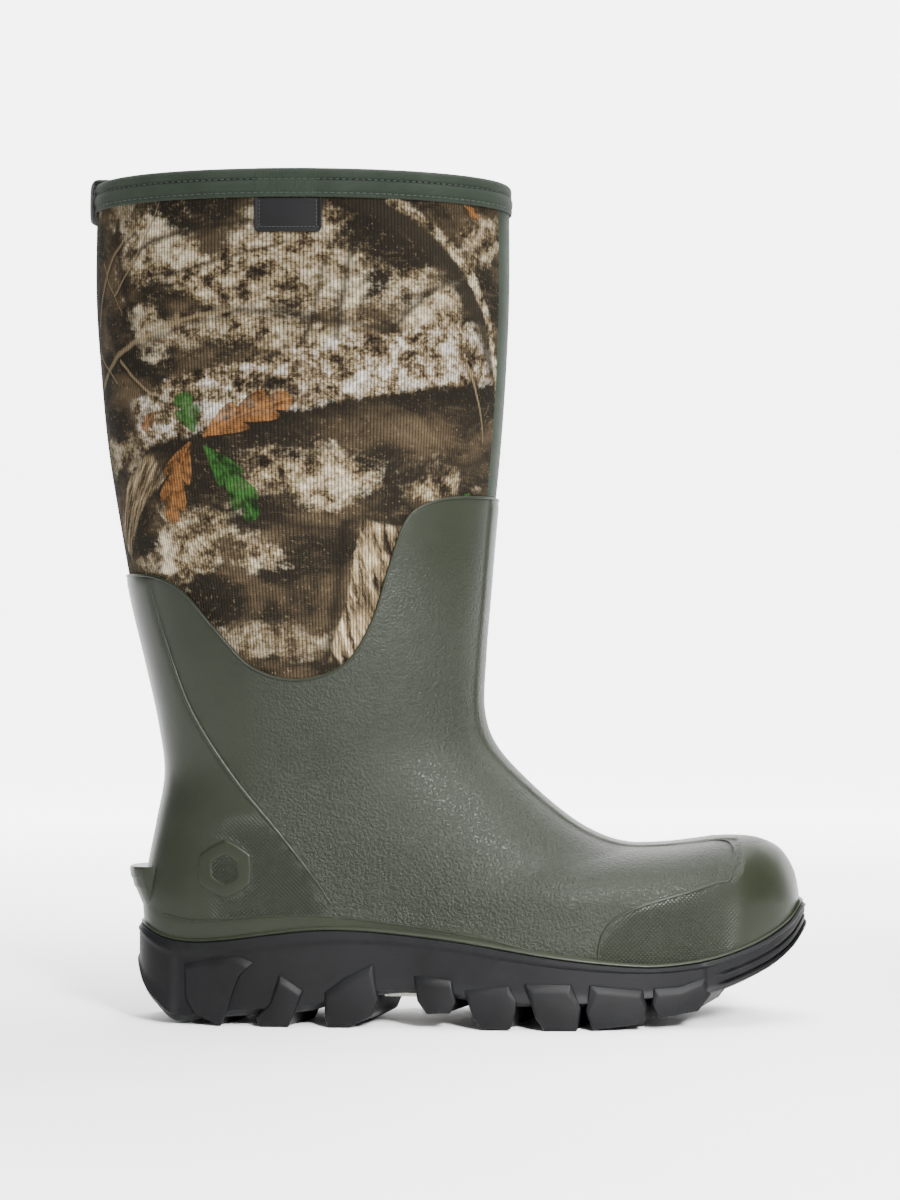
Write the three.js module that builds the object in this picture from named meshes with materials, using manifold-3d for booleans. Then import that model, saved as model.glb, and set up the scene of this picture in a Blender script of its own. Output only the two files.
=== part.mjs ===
// Insulated pull-on hunting boot for the right foot: a moulded rubber foot with a lugged outsole,
// a neoprene shaft faced with printed cloth, a sewn collar, and the bootie, lining and footbed inside.
// Millimetres. +X points to the toe, +Y to the inner (medial) side and +Z up; the origin is on the
// ground, under the middle of the boot's box.
import * as THREE from "three";
import { mergeVertices } from "three/addons/utils/BufferGeometryUtils.js";
import Module from "manifold-3d";

const wasm = await Module();
wasm.setup();

// ---- overall sizes -------------------------------------------------------------------------
const SOLE_LENGTH = 307; // heel to toe along the outsole
const BOOT_HEIGHT = 386; // ground to the top of the collar
const FOREFOOT_WIDTH = 101; // the upper across the ball of the foot
const HEEL_WIDTH = 73; // the upper across the heel
const SHAFT_WIDTH = 96; // the shaft, side to side, at its widest

// ---- wall build-up, each layer's gauge -------------------------------------------------------
const CLEARANCE = 0.3; // between neighbouring layers
const RUBBER_SHAFT = 1.1; // rubber where it laps over the shaft cloth
const RUBBER_FOOT = 2.4; // rubber around the foot
const CLOTH = 1.0; // printed face cloth
const INSULATION = 5.5; // neoprene foam
const LINING = 0.8;
const BINDING = 0.9; // folded collar tape
const TAB_WEBBING = 0.9;
const PATCH = 1.0;
const COUNTER = 1.2; // heel stiffener
const TOE_PUFF = 1.0; // toe stiffener

// ---- collar, shaft and trim --------------------------------------------------------------------
const BINDING_FACE = 5.6; // height of the collar's top roll
const BINDING_INSIDE = 12;
const BAND_FACE = 8; // height of the second collar tape
const CLOTH_LAP = 12; // how far the cloth runs down behind the rubber's edge
const FRONT_STRIP_WIDTH = 28;
const REAR_STRIP_WIDTH = 13;
const PATCH_WIDTH = 30.5;
const PATCH_HEIGHT = 15.5;
const TAB_WIDTH = 15;
const TAB_DROP = 17; // how far the pull tab reaches below the rim
const RUBBER_THINS_BELOW_EDGE = 75; // the rubber keeps its thin gauge this far below its top edge
const WALL_PER_SECTION = 23.25; // the thicker the wall, the further its last row is from the toe's tip

// ---- foot and sole --------------------------------------------------------------------------
const FLANGE_REACH = 2.2; // rubber flange that the outsole is moulded against
const FLANGE_HEIGHT = 1.6;
const FLANGE_ROOT = 2.1; // how deep the flange is rooted in the rubber wall
const SOLE_REACH = 2.4; // outsole beyond the upper at its top edge
const SOLE_PLATE = 12.5; // outsole thickness under the midsole
const MIDSOLE_INSET = 9;
const GROOVE_DEPTH = 9;
const GROOVE_DRAFT = 0.2; // slope of a groove's walls
const GROOVE_SKIN = 4; // least rubber left above a groove
const SHANK_LENGTH = 105;
const SHANK_WIDTH = 26;
const SHANK_GAUGE = 1.6;
const BOARD = 1.5; // insole board
const FOOTBED = 5;
const FOOTBED_COVER = 0.8;
const KICK_TAB_REACH = 9;
const KICK_TAB_WIDTH = 38;
const KICK_TAB_TOP = 70;
const KICK_TAB_HEIGHT = 19.5;

const AROUND = 28; // facets round each tube
const SOLE_POINTS = 26; // points along each side of the sole's edge
const ANKLE = 124; // above this height the profile stretches with the boot's height
const DRAWN = { length: 307, height: 386, forefoot: 101, heel: 73, shaft: 96 };

// ---- profile of the boot -------------------------------------------------------------------
// Sections run from the collar down the shaft, fan round the ankle and end at the toe. Each one spans
// the front (or top) line and the back (or bottom) line. half is the shaft's half-width there, foot
// says how far the foot's plan has taken over from it, and round is the section's squareness at each end.
const SECTIONS = [
  { front: [30.0, 386], back: [-164.6, 386], half: 44.4, foot: 0, round: [2.0, 2.1] },
  { front: [30.0, 335], back: [-164.8, 335], half: 46.0, foot: 0, round: [2.0, 2.1] },
  { front: [28.4, 297], back: [-162.0, 295], half: 47.5, foot: 0, round: [2.0, 2.1] },
  { front: [25.9, 262], back: [-158.6, 262], half: 48.0, foot: 0, round: [2.0, 2.1] },
  { front: [22.6, 228], back: [-153.0, 228], half: 47.5, foot: 0, round: [2.0, 2.1] },
  { front: [19.9, 196], back: [-146.7, 194], half: 46.5, foot: 0, round: [2.0, 2.1] },
  { front: [17.4, 164.6], back: [-138.9, 162], half: 44.5, foot: 0, round: [2.0, 2.2] },
  { front: [16.9, 141], back: [-133.0, 136], half: 42.0, foot: 0, round: [2.0, 2.3] },
  { front: [23.0, 124], back: [-130.0, 113], half: 39.5, foot: 0.2, round: [2.0, 2.4] },
  { front: [40.0, 105.6], back: [-133.4, 91], half: 38.5, foot: 0.55, round: [2.1, 2.6] },
  { front: [58.0, 90.8], back: [-137.3, 70], half: 37.5, foot: 0.9, round: [2.1, 2.8] },
  { front: [72.0, 83.2], back: [-138.9, 50], half: 37.5, foot: 1, round: [2.1, 3.0] },
  { front: [84.0, 79.9], back: [-133.0, 31.5], half: 37.5, foot: 1, round: [2.2, 3.1] },
  { front: [95.0, 79.6], back: [-105.0, 28.5], half: 37.5, foot: 1, round: [2.2, 3.8] },
  { front: [105.5, 80.2], back: [-62.0, 27.5], half: 37.5, foot: 1, round: [2.2, 5.0] },
  { front: [115.5, 81.4], back: [-15.0, 25.0], half: 37.5, foot: 1, round: [2.2, 6.0] },
  { front: [125.5, 82.6], back: [32.0, 21.0], half: 37.5, foot: 1, round: [2.3, 6.0] },
  { front: [135.5, 82.8], back: [75.0, 18.5], half: 37.5, foot: 1, round: [2.3, 6.0] },
  { front: [145.0, 81.5], back: [108.0, 20.0], half: 37.5, foot: 1, round: [2.3, 5.0] },
  { front: [153.8, 77.2], back: [134.0, 26.0], half: 37.5, foot: 1, round: [2.2, 4.0] },
  { front: [159.6, 69.0], back: [150.0, 35.0], half: 37.5, foot: 1, round: [2.1, 3.0] },
  { front: [162.1, 60.5], back: [158.0, 43.0], half: 37.5, foot: 1, round: [2.0, 2.5] },
  { front: [162.8, 52.5], back: [162.8, 52.5], half: 37.5, foot: 1, round: [2.0, 2.0] },
];
const LAST = SECTIONS.length - 1; // the toe's tip
const SLEEVE_END = 7; // the bootie's shaft and foot are joined at this section

// The foot's plan: x, half-width, and how far the middle lies towards the inner side.
const PLAN = [
  [-140, 36.5, 0],
  [-60, 36.75, -0.75],
  [-20, 38.5, -3],
  [20, 44, -4.5],
  [50, 49, -2.5],
  [80, 50.5, 1],
  [105, 50, 3.5],
  [163, 49, 8.5],
];
const TOE_ROUND_FROM = 78; // the plan starts to close towards the toe here
// The edge of the rubber round the shaft, from in front of the boot to behind it, as x, z.
const RUBBER_EDGE = [
  [60, 239.5], [10, 238.6], [-9, 234.5], [-19, 226], [-26, 206], [-33, 183], [-45, 163],
  [-67, 155.2], [-88, 161], [-105, 178.5], [-121, 196], [-138, 203], [-190, 205],
];
// Where the outsole's top edge meets the upper, as x, z.
const SOLE_LINE = [
  [-140, 44.5], [-128, 38.8], [-110, 37.3], [-55, 43], [-3, 39.3], [50, 31.1], [85, 27.5],
  [103, 28], [121.5, 30.9], [140.6, 37.1], [156.3, 45.6], [163, 53],
];
// The underside of the outsole, which curls up at the heel and the toe, as x, z.
const GROUND_LINE = [
  [-142, 24], [-138, 15], [-131, 7.5], [-121, 2], [-110, 0], [70, 0], [92, 6], [113, 11.5],
  [142, 23], [157, 32], [168, 44],
];
// Tread grooves along the outer edge of the sole: middle and width at the ground.
const GROOVES = [
  [-91, 12], [-60, 13], [6.5, 12], [33, 11.5], [63, 11], [90, 9], [113, 8],
];
const ARCH = { from: -37, to: -12, height: 8.5, rise: 2.5 }; // the waist between heel and forefoot treads

// ---- scaling of the drawn profile to the sizes above -----------------------------------------
const lengthwise = SOLE_LENGTH / DRAWN.length;
const shaftwise = (BOOT_HEIGHT - ANKLE) / (DRAWN.height - ANKLE);
const toX = (x) => x * lengthwise;
const toZ = (z) => (z <= ANKLE ? z : ANKLE + (z - ANKLE) * shaftwise);
const toPoint = ([x, z]) => [toX(x), toZ(z)];
const TOE_X = toX(SECTIONS[LAST].front[0]);

function catmullRom(a, b, c, d, t) {
  const rise = (c - a) / 2;
  const fall = (d - b) / 2;
  return b + rise * t + (3 * (c - b) - 2 * rise - fall) * t * t + (2 * (b - c) + rise + fall) * t ** 3;
}

// A value that runs smoothly through the sections: pick reads it from one section.
function along(pick, s) {
  const i = Math.min(Math.max(Math.floor(s), 0), LAST - 1);
  const at = (k) => pick(SECTIONS[Math.min(Math.max(k, 0), LAST)]);
  const before = i === 0 ? 2 * at(0) - at(1) : at(i - 1);
  const after = i === LAST - 1 ? 2 * at(LAST) - at(LAST - 1) : at(i + 2);
  return catmullRom(before, at(i), at(i + 1), after, s - i);
}

// A smooth curve through points that start with their x, read at x; column says which number.
function curveAt(points, x, column = 1) {
  const last = points.length - 1;
  let i = 0;
  while (i < last - 1 && x > points[i + 1][0]) i += 1;
  const slope = (k) => {
    const a = points[Math.max(k - 1, 0)];
    const b = points[Math.min(k + 1, last)];
    return (b[column] - a[column]) / (b[0] - a[0]);
  };
  const span = points[i + 1][0] - points[i][0];
  const t = THREE.MathUtils.clamp((x - points[i][0]) / span, 0, 1);
  const rise = slope(i) * span;
  const fall = slope(i + 1) * span;
  const b = points[i][column];
  const c = points[i + 1][column];
  return b + rise * t + (3 * (c - b) - 2 * rise - fall) * t * t + (2 * (b - c) + rise + fall) * t ** 3;
}

const soleLine = (x) => curveAt(SOLE_LINE, x / lengthwise);
const groundLine = (x) => Math.max(0, curveAt(GROUND_LINE, x / lengthwise));

// Half-width of the foot's plan at x, for a surface that lies depth inside the outside.
function planHalf(x, depth) {
  const drawn = x / lengthwise;
  const width = THREE.MathUtils.mapLinear(
    curveAt(PLAN, drawn),
    DRAWN.heel / 2, DRAWN.forefoot / 2, HEEL_WIDTH / 2, FOREFOOT_WIDTH / 2,
  );
  const from = toX(TOE_ROUND_FROM);
  const u = THREE.MathUtils.clamp((x - from) / (TOE_X - depth - from), 0, 1);
  return (width - depth) * (1 - u ** 2.3) ** (1 / 2.1);
}
const planMiddle = (x) => curveAt(PLAN, x / lengthwise, 2);

// The end of section s on the front or back line, moved inwards by depth.
function lineEnd(which, s, depth) {
  const read = (k) => [
    along((section) => toPoint(section[which])[0], k),
    along((section) => toPoint(section[which])[1], k),
  ];
  const here = read(s);
  const a = read(Math.max(s - 0.5, 0));
  const b = read(Math.min(s + 0.5, LAST));
  const length = Math.hypot(b[0] - a[0], b[1] - a[1]);
  const side = which === "front" ? -1 : 1;
  const outwards = [(side * (b[1] - a[1])) / length, (-side * (b[0] - a[0])) / length];
  return [here[0] - depth * outwards[0], here[1] - depth * outwards[1]];
}

// A point of the surface that lies depth inside the boot's outside. s runs down the sections, and
// angle goes round from the front (0) by the outer side to the back (pi) and the inner side.
function surface(s, angle, depth) {
  if (s >= LAST) return new THREE.Vector3(TOE_X - depth, planMiddle(TOE_X), SECTIONS[LAST].front[1]);
  const front = lineEnd("front", s, depth);
  const back = lineEnd("back", s, depth);
  const toFront = Math.cos(angle) > 0;
  const n = along((section) => section.round[toFront ? 0 : 1], s);
  const c = Math.sign(Math.cos(angle)) * Math.abs(Math.cos(angle)) ** (2 / n);
  const e = Math.abs(Math.sin(angle)) ** (2 / n);
  const x = (front[0] + back[0]) / 2 + (c * (front[0] - back[0])) / 2;
  const z = (front[1] + back[1]) / 2 + (c * (front[1] - back[1])) / 2;
  const foot = THREE.MathUtils.clamp(along((section) => section.foot, s), 0, 1);
  const shaft = along((section) => section.half, s) * (SHAFT_WIDTH / DRAWN.shaft) - depth;
  const half = THREE.MathUtils.lerp(shaft, planHalf(x, depth), foot);
  const side = Math.sin(angle) >= 0 ? -1 : 1;
  return new THREE.Vector3(x, side * e * half + foot * planMiddle(x), z);
}

// The height of the boot's underside, depth inside it, along its middle.
function floorHeight(x, depth) {
  let low = 11.5;
  let high = LAST;
  for (let k = 0; k < 24; k += 1) {
    const s = (low + high) / 2;
    if (lineEnd("back", s, depth)[0] < x) low = s;
    else high = s;
  }
  return lineEnd("back", low, depth)[1];
}

// ---- solids --------------------------------------------------------------------------------
function solidFromFaces(points, faces) {
  const vertProperties = new Float32Array(points.flatMap((p) => [p.x, p.y, p.z]));
  const triVerts = new Uint32Array(faces.flat());
  return new wasm.Manifold(new wasm.Mesh({ numProp: 3, vertProperties, triVerts }));
}

// The same, turned the right way out when the faces were listed the wrong way round.
function facingOut(points, faces) {
  const made = solidFromFaces(points, faces);
  return made.volume() > 0 ? made : solidFromFaces(points, faces.map(([a, b, c]) => [a, c, b]));
}

function solidFromGeometry(geometry) {
  geometry.deleteAttribute("normal");
  geometry.deleteAttribute("uv");
  const merged = mergeVertices(geometry, 1e-4);
  return new wasm.Manifold(new wasm.Mesh({
    numProp: 3,
    vertProperties: merged.attributes.position.array,
    triVerts: new Uint32Array(merged.index.array),
  }));
}

// Closed rings of equally many points, joined in order. closed joins the last ring to the first;
// otherwise each end is closed by a fan to its ring's centre, or to its pole if it has one.
function loft(rings, { closed = false, startPole = null, endPole = null } = {}) {
  const size = rings[0].length;
  const points = rings.flat();
  const faces = [];
  const joins = closed ? rings.length : rings.length - 1;
  for (let r = 0; r < joins; r += 1) {
    const next = (r + 1) % rings.length;
    for (let k = 0; k < size; k += 1) {
      const a = r * size + k;
      const b = r * size + ((k + 1) % size);
      const c = next * size + ((k + 1) % size);
      const d = next * size + k;
      faces.push([a, b, c], [a, c, d]);
    }
  }
  if (!closed) {
    const middle = (ring) => ring.reduce((sum, p) => sum.add(p), new THREE.Vector3()).divideScalar(size);
    const start = points.push(startPole ?? middle(rings[0])) - 1;
    const end = points.push(endPole ?? middle(rings.at(-1))) - 1;
    const base = (rings.length - 1) * size;
    for (let k = 0; k < size; k += 1) {
      faces.push([start, (k + 1) % size, k]);
      faces.push([end, base + k, base + ((k + 1) % size)]);
    }
  }
  return facingOut(points, faces);
}

// The facets lie closer together at the narrow front and back of each section than along its sides.
const angles = Array.from({ length: AROUND }, (_, k) => {
  const even = (2 * Math.PI * k) / AROUND;
  return even - 0.2 * Math.sin(2 * even);
});
// A depth is a number, or a function of the section and the angle.
const depthAt = (depth, s, angle) => (typeof depth === "function" ? depth(s, angle) : depth);
const ring = (s, depth) => angles.map((angle) => surface(s, angle, depthAt(depth, s, angle)));

function rowsBetween(from, to) {
  const rows = [from];
  for (let s = Math.floor(from) + 1; s < Math.min(to, LAST); s += 1) rows.push(s);
  rows.push(to < LAST ? to : LAST - liningInner / WALL_PER_SECTION);
  return rows;
}

// Everything inside the surface at depth, from section from to the toe.
function fullBody(depth, from = 0) {
  const rings = rowsBetween(from, LAST).map((s) => ring(s, depth));
  return loft(rings, { endPole: surface(LAST, 0, depth) });
}

// A wall between two depths. It ends open at section to, or closes over the toe. Both faces are
// split into triangles along the same diagonals, so that layers laid one inside the other stay clear.
function wall(outer, inner, from, to = LAST) {
  const rows = rowsBetween(from, to);
  const last = rows.length - 1;
  const points = [outer, inner].flatMap((depth) => rows.flatMap((s) => ring(s, depth)));
  const at = (side, r, k) => (side * rows.length + r) * AROUND + (k % AROUND);
  const faces = [];
  const addFaces = (side, made) => made.forEach(([a, b, c]) => faces.push(side ? [a, c, b] : [a, b, c]));
  const overToe = to >= LAST;
  [outer, inner].forEach((depth, side) => {
    const pole = overToe ? points.push(surface(LAST, 0, depthAt(depth, LAST, 0))) - 1 : 0;
    for (let k = 0; k < AROUND; k += 1) {
      for (let r = 0; r < last; r += 1) {
        const [a, b] = [at(side, r, k), at(side, r, k + 1)];
        const [c, d] = [at(side, r + 1, k + 1), at(side, r + 1, k)];
        addFaces(side, [[a, b, c], [a, c, d]]);
      }
      if (overToe) addFaces(side, [[at(side, last, k), at(side, last, k + 1), pole]]);
    }
  });
  for (const r of overToe ? [0] : [0, last]) {
    for (let k = 0; k < AROUND; k += 1) {
      const [a, b, c, d] = [at(0, r, k), at(0, r, k + 1), at(1, r, k + 1), at(1, r, k)];
      addFaces(r === 0 ? 1 : 0, [[a, b, c], [a, c, d]]);
    }
  }
  return facingOut(points, faces);
}

// A band round the collar whose cross-section is a list of [depth, height].
function collarRing(section) {
  const reach = BOOT_HEIGHT - toZ(SECTIONS[1].front[1]);
  const rings = angles.map((angle) => section.map(([depth, z]) => {
    const point = surface(Math.max(0, (BOOT_HEIGHT - z) / reach), angle, depth);
    return point.setZ(z);
  }));
  return loft(rings, { closed: true });
}

// A prism across the boot, drawn in the side view as x, z.
function sidePrism(outline, from = -150, to = 150) {
  const shape = new THREE.Shape(outline.map(([x, z]) => new THREE.Vector2(x, z)));
  const geometry = new THREE.ExtrudeGeometry(shape, { depth: to - from, bevelEnabled: false });
  geometry.rotateX(Math.PI / 2).translate(0, to, 0);
  return solidFromGeometry(geometry);
}

function block(low, high) {
  const size = high.map((value, k) => value - low[k]);
  const geometry = new THREE.BoxGeometry(...size);
  geometry.translate(...high.map((value, k) => (value + low[k]) / 2));
  return solidFromGeometry(geometry);
}

// All of the side view above the rubber's edge, lowered by drop.
function aboveRubberEdge(drop = 0) {
  const spline = new THREE.SplineCurve(RUBBER_EDGE.map((p) => new THREE.Vector2(...toPoint(p))));
  const edge = spline.getPoints(42).map((p) => [p.x, p.y - drop]);
  const roof = BOOT_HEIGHT + 60;
  return sidePrism([...edge, [edge.at(-1)[0], roof], [edge[0][0], roof]]);
}
const rubberEdge = (x) => toZ(curveAt([...RUBBER_EDGE].reverse(), x / lengthwise));

// ---- depths of the layers, worked inwards from the outside ------------------------------------
const clothOuter = RUBBER_SHAFT + CLEARANCE;
const clothInner = clothOuter + CLOTH;
const foamOuter = Math.max(clothInner, RUBBER_FOOT) + CLEARANCE;
const foamInner = foamOuter + INSULATION;
const liningOuter = foamInner + CLEARANCE;
const liningInner = liningOuter + LINING;
const bindingOuter = clothOuter - CLEARANCE - BINDING;
const bindingInner = liningInner + CLEARANCE;
const bindingInside = bindingInner + BINDING;
const layersTop = BOOT_HEIGHT - BINDING - 2 * CLEARANCE;
const topSection = (BOOT_HEIGHT - layersTop) / (BOOT_HEIGHT - toZ(SECTIONS[1].front[1]));
const SEAM_GAP = 0.02; // of a section, between the sleeve and the foot of the bootie

// ---- rubber upper ---------------------------------------------------------------------------
// The closed line on the outside where the outsole's edge meets the upper, evenly spaced from the
// heel along the outer side to the toe and back along the inner side.
function solePerimeter(count) {
  const aboveLine = (s, angle) => {
    const p = surface(s, angle, 0);
    return p.z - soleLine(p.x);
  };
  let start = 10;
  while (aboveLine(start, Math.PI) > 0) start += 0.002;
  const crossings = [];
  for (let t = 0; t < 0.999; t += 0.004) {
    const s = start + (LAST - start) * t ** 2;
    let high = Math.PI / 6;
    let low = Math.PI;
    for (let k = 0; k < 30; k += 1) {
      const middle = (high + low) / 2;
      if (aboveLine(s, middle) > 0) high = middle;
      else low = middle;
    }
    crossings.push(surface(s, high, 0));
  }
  crossings.push(surface(LAST, 0, 0));
  const outer = new THREE.CatmullRomCurve3(crossings).getSpacedPoints(count);
  const inner = outer.slice(1, -1).reverse().map(
    (p) => new THREE.Vector3(p.x, 2 * planMiddle(p.x) - p.y, p.z),
  );
  return [...outer, ...inner];
}

// The perimeter moved outwards by reach in plan, at the height that heightOf gives for its x.
function perimeterRing(perimeter, reach, heightOf) {
  const count = perimeter.length;
  return perimeter.map((point, k) => {
    const before = perimeter[(k + count - 1) % count];
    const after = perimeter[(k + 1) % count];
    const edge = new THREE.Vector2(after.x - before.x, after.y - before.y).normalize();
    const x = point.x + edge.y * reach * turn;
    const y = point.y - edge.x * reach * turn;
    return new THREE.Vector3(x, y, heightOf(x));
  });
}
const perimeter = solePerimeter(SOLE_POINTS);
// +1 where the perimeter runs anticlockwise from above, so that reach always points outwards
const turn = Math.sign(perimeter.reduce((sum, p, k) => {
  const q = perimeter[(k + 1) % perimeter.length];
  return sum + p.x * q.y - q.x * p.y;
}, 0));

function bandRound(corners) {
  const rings = corners.map(([reach, heightOf]) => perimeterRing(perimeter, reach, heightOf));
  return loft(rings, { closed: true });
}

const flangeTop = (x) => soleLine(x) + FLANGE_HEIGHT;
const flange = bandRound([
  [-FLANGE_ROOT, soleLine], [FLANGE_REACH, soleLine], [FLANGE_REACH, flangeTop], [-FLANGE_ROOT, flangeTop],
]).subtract(fullBody(RUBBER_FOOT, SLEEVE_END));

function rubberGauge(s, angle) {
  const p = surface(Math.min(s, LAST), angle, 0);
  const thinDownTo = rubberEdge(p.x) - RUBBER_THINS_BELOW_EDGE * shaftwise;
  return p.z > thinDownTo ? RUBBER_SHAFT : RUBBER_FOOT;
}
const rubberUpper = wall(0, rubberGauge, 0).subtract(aboveRubberEdge()).add(flange);

// The ledge behind the heel that the other boot or a boot jack pushes against.
const heelX = (z) => curveAt([[31.5, toX(-133)], [50, toX(-138.9)], [70, toX(-137.3)], [91, toX(-133.4)]], z);
const kickOutline = [
  [toX(-100), KICK_TAB_TOP],
  [heelX(KICK_TAB_TOP) - KICK_TAB_REACH, KICK_TAB_TOP],
  [heelX(KICK_TAB_TOP) - KICK_TAB_REACH - 0.4, KICK_TAB_TOP - 2.5],
  [heelX(KICK_TAB_TOP - KICK_TAB_HEIGHT) - CLEARANCE, KICK_TAB_TOP - KICK_TAB_HEIGHT],
  [toX(-100), KICK_TAB_TOP - KICK_TAB_HEIGHT],
];
const kickTab = wall(-KICK_TAB_REACH - 3, -CLEARANCE, 8, 12)
  .intersect(sidePrism(kickOutline, -KICK_TAB_WIDTH / 2, KICK_TAB_WIDTH / 2));

// ---- outsole, midsole and shank ----------------------------------------------------------------
const between = (share) => (x) => THREE.MathUtils.lerp(groundLine(x), soleLine(x) - CLEARANCE, share);

// A sole-shaped block: rings from its top to its bottom, each closed across the boot.
function soleBlock(levels) {
  const rings = levels.map(([reach, heightOf]) => perimeterRing(perimeter, reach, heightOf));
  const size = perimeter.length;
  const points = rings.flat();
  const faces = [];
  for (let r = 0; r < rings.length - 1; r += 1) {
    for (let k = 0; k < size; k += 1) {
      const a = r * size + k;
      const b = r * size + ((k + 1) % size);
      faces.push([a, b, b + size], [a, b + size, a + size]);
    }
  }
  const acrossFaces = (base, flip) => {
    for (let k = 0; k < size / 2; k += 1) {
      const [a, b] = [base + k, base + k + 1];
      const [d, c] = [base + ((size - k) % size), base + size - k - 1];
      const made = [];
      if (a !== d) made.push([a, d, b]);
      if (b !== c) made.push([d, c, b]);
      made.forEach((f) => faces.push(flip ? [f[0], f[2], f[1]] : f));
    }
  };
  acrossFaces(0, false);
  acrossFaces((rings.length - 1) * size, true);
  return facingOut(points, faces);
}

const sockSpace = fullBody(-CLEARANCE, SLEEVE_END);
const soleTop = soleBlock([
  [-FLANGE_ROOT - CLEARANCE, between(1)],
  [SOLE_REACH, between(1)],
  [SOLE_REACH + 1, between(0.7)],
  [SOLE_REACH + 1, between(0.35)],
  [SOLE_REACH - 0.5, between(0.1)],
  [SOLE_REACH - 4, between(0)],
]);

// The outline of a groove in the side view: it widens downwards and stays clear of the upper's floor.
function treadGroove([middle, width]) {
  const x = toX(middle);
  const ground = groundLine(x);
  const depth = Math.min(GROOVE_DEPTH, floorHeight(x, 0) - ground - GROOVE_SKIN);
  const top = width / 2 - GROOVE_DRAFT * depth;
  const below = width / 2 + GROOVE_DRAFT * (ground + 5);
  return [[-below, -5], [-top, ground + depth], [top, ground + depth], [below, -5]].map(
    ([away, z]) => [x + away, z],
  );
}
const CHEVRON = 0.3; // how far the grooves slant forwards to the middle, per millimetre across
function slanted(prism, side) {
  const forward = (CHEVRON * FOREFOOT_WIDTH) / 2;
  return prism.transform([1, 0, 0, 0, -side * CHEVRON, 1, 0, 0, 0, 0, 1, 0, forward, 0, 0, 1]);
}
const grooveCuts = GROOVES.flatMap((groove) => {
  const outline = treadGroove(groove);
  return [
    slanted(sidePrism(outline, -90, -5), -1),
    slanted(sidePrism(outline, 5, 90), 1),
  ];
});
const archCut = sidePrism([
  [toX(ARCH.from), -5], [toX(ARCH.from) + 6, ARCH.height],
  [toX(ARCH.to), ARCH.height + ARCH.rise], [toX(ARCH.to) + 2, -5],
]);
const treads = wasm.Manifold.union([...grooveCuts, archCut]);

const plateTop = (x) => Math.max(SOLE_PLATE, groundLine(x) + SOLE_PLATE);
const midsoleTop = (x) => soleLine(x) + 4;
const midsoleBlock = (grow) => soleBlock([
  [-MIDSOLE_INSET + grow, midsoleTop],
  [-MIDSOLE_INSET - 2 + grow, (x) => plateTop(x) + CLEARANCE - grow],
]);
const flatSole = block([toX(-150), -90, -1], [toX(126), 90, 80]);

const shankFrom = toX(-88);
function shankSolid(grow) {
  const rings = [];
  const steps = 7;
  for (let k = 0; k <= steps; k += 1) {
    const end = k === 0 ? -grow : k === steps ? grow : 0;
    const x = shankFrom + (SHANK_LENGTH * k) / steps + end;
    const top = floorHeight(x, -3 * CLEARANCE) + (grow ? 10 : 0);
    const bottom = floorHeight(x, -3 * CLEARANCE) - SHANK_GAUGE - grow;
    const half = SHANK_WIDTH / 2 + grow;
    rings.push([[half, top], [-half, top], [-half, bottom], [half, bottom]].map(
      ([y, z]) => new THREE.Vector3(x, y, z),
    ));
  }
  return loft(rings);
}
const shank = shankSolid(0);
const midsole = midsoleBlock(0).intersect(flatSole).subtract(sockSpace).subtract(shankSolid(CLEARANCE));
const outsole = soleTop
  .subtract(sockSpace)
  .subtract(midsoleBlock(CLEARANCE).intersect(block([toX(-150), -90, -1], [toX(126) + CLEARANCE, 90, 80])))
  .subtract(treads);

// ---- shaft cloth, seam strips and the bootie -----------------------------------------------------
const shaftMiddle = toX(-68);
const clothLayer = wall(clothOuter, clothInner, topSection, SLEEVE_END).intersect(aboveRubberEdge(CLOTH_LAP));
const frontStripSpace = (grow) => block(
  [shaftMiddle, -FRONT_STRIP_WIDTH / 2 - grow, 0],
  [toX(200), FRONT_STRIP_WIDTH / 2 + grow, BOOT_HEIGHT + 50],
);
const rearStripSpace = (grow) => block(
  [toX(-300), -REAR_STRIP_WIDTH / 2 - grow, 0],
  [shaftMiddle, REAR_STRIP_WIDTH / 2 + grow, BOOT_HEIGHT + 50],
);
const frontStrip = clothLayer.intersect(frontStripSpace(0));
const rearStrip = clothLayer.intersect(rearStripSpace(0));
const panels = clothLayer.subtract(frontStripSpace(CLEARANCE)).subtract(rearStripSpace(CLEARANCE));
const halfSpace = (side) => (side < 0
  ? block([-400, -200, -10], [400, 0, BOOT_HEIGHT + 60])
  : block([-400, 0, -10], [400, 200, BOOT_HEIGHT + 60]));
const outerPanel = panels.intersect(halfSpace(-1));
const innerPanel = panels.intersect(halfSpace(1));

const counterOutline = (grow) => [
  [toX(-170), 34 - grow], [toX(-74) + grow, 34 - grow], [toX(-82) + grow, 66], [toX(-104) + grow, 96 + grow],
  [toX(-170), 100 + grow],
];
const puffOutline = (grow) => [
  [toX(116) - grow, 32 - grow], [toX(190), 32 - grow], [toX(190), 100], [toX(124) - grow, 100],
];
const stiffener = (gauge, outline) => wall(foamOuter + CLEARANCE, foamOuter + CLEARANCE + gauge, SLEEVE_END + 0.5)
  .intersect(sidePrism(outline(0)));
const stiffenerPocket = (gauge, outline) => wall(
  foamOuter - 0.5 * CLEARANCE, foamOuter + 2 * CLEARANCE + gauge, SLEEVE_END + 0.5,
).intersect(sidePrism(outline(CLEARANCE)));
const heelCounter = stiffener(COUNTER, counterOutline);
const toePuff = stiffener(TOE_PUFF, puffOutline);

const sleeveEnd = SLEEVE_END - SEAM_GAP;
const shaftInsulation = wall(foamOuter, foamInner, topSection, sleeveEnd);
const footInsulation = wall(foamOuter, foamInner, SLEEVE_END)
  .subtract(stiffenerPocket(COUNTER, counterOutline))
  .subtract(stiffenerPocket(TOE_PUFF, puffOutline));
const shaftLining = wall(liningOuter, liningInner, topSection, sleeveEnd);
const footLining = wall(liningOuter, liningInner, SLEEVE_END);

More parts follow.
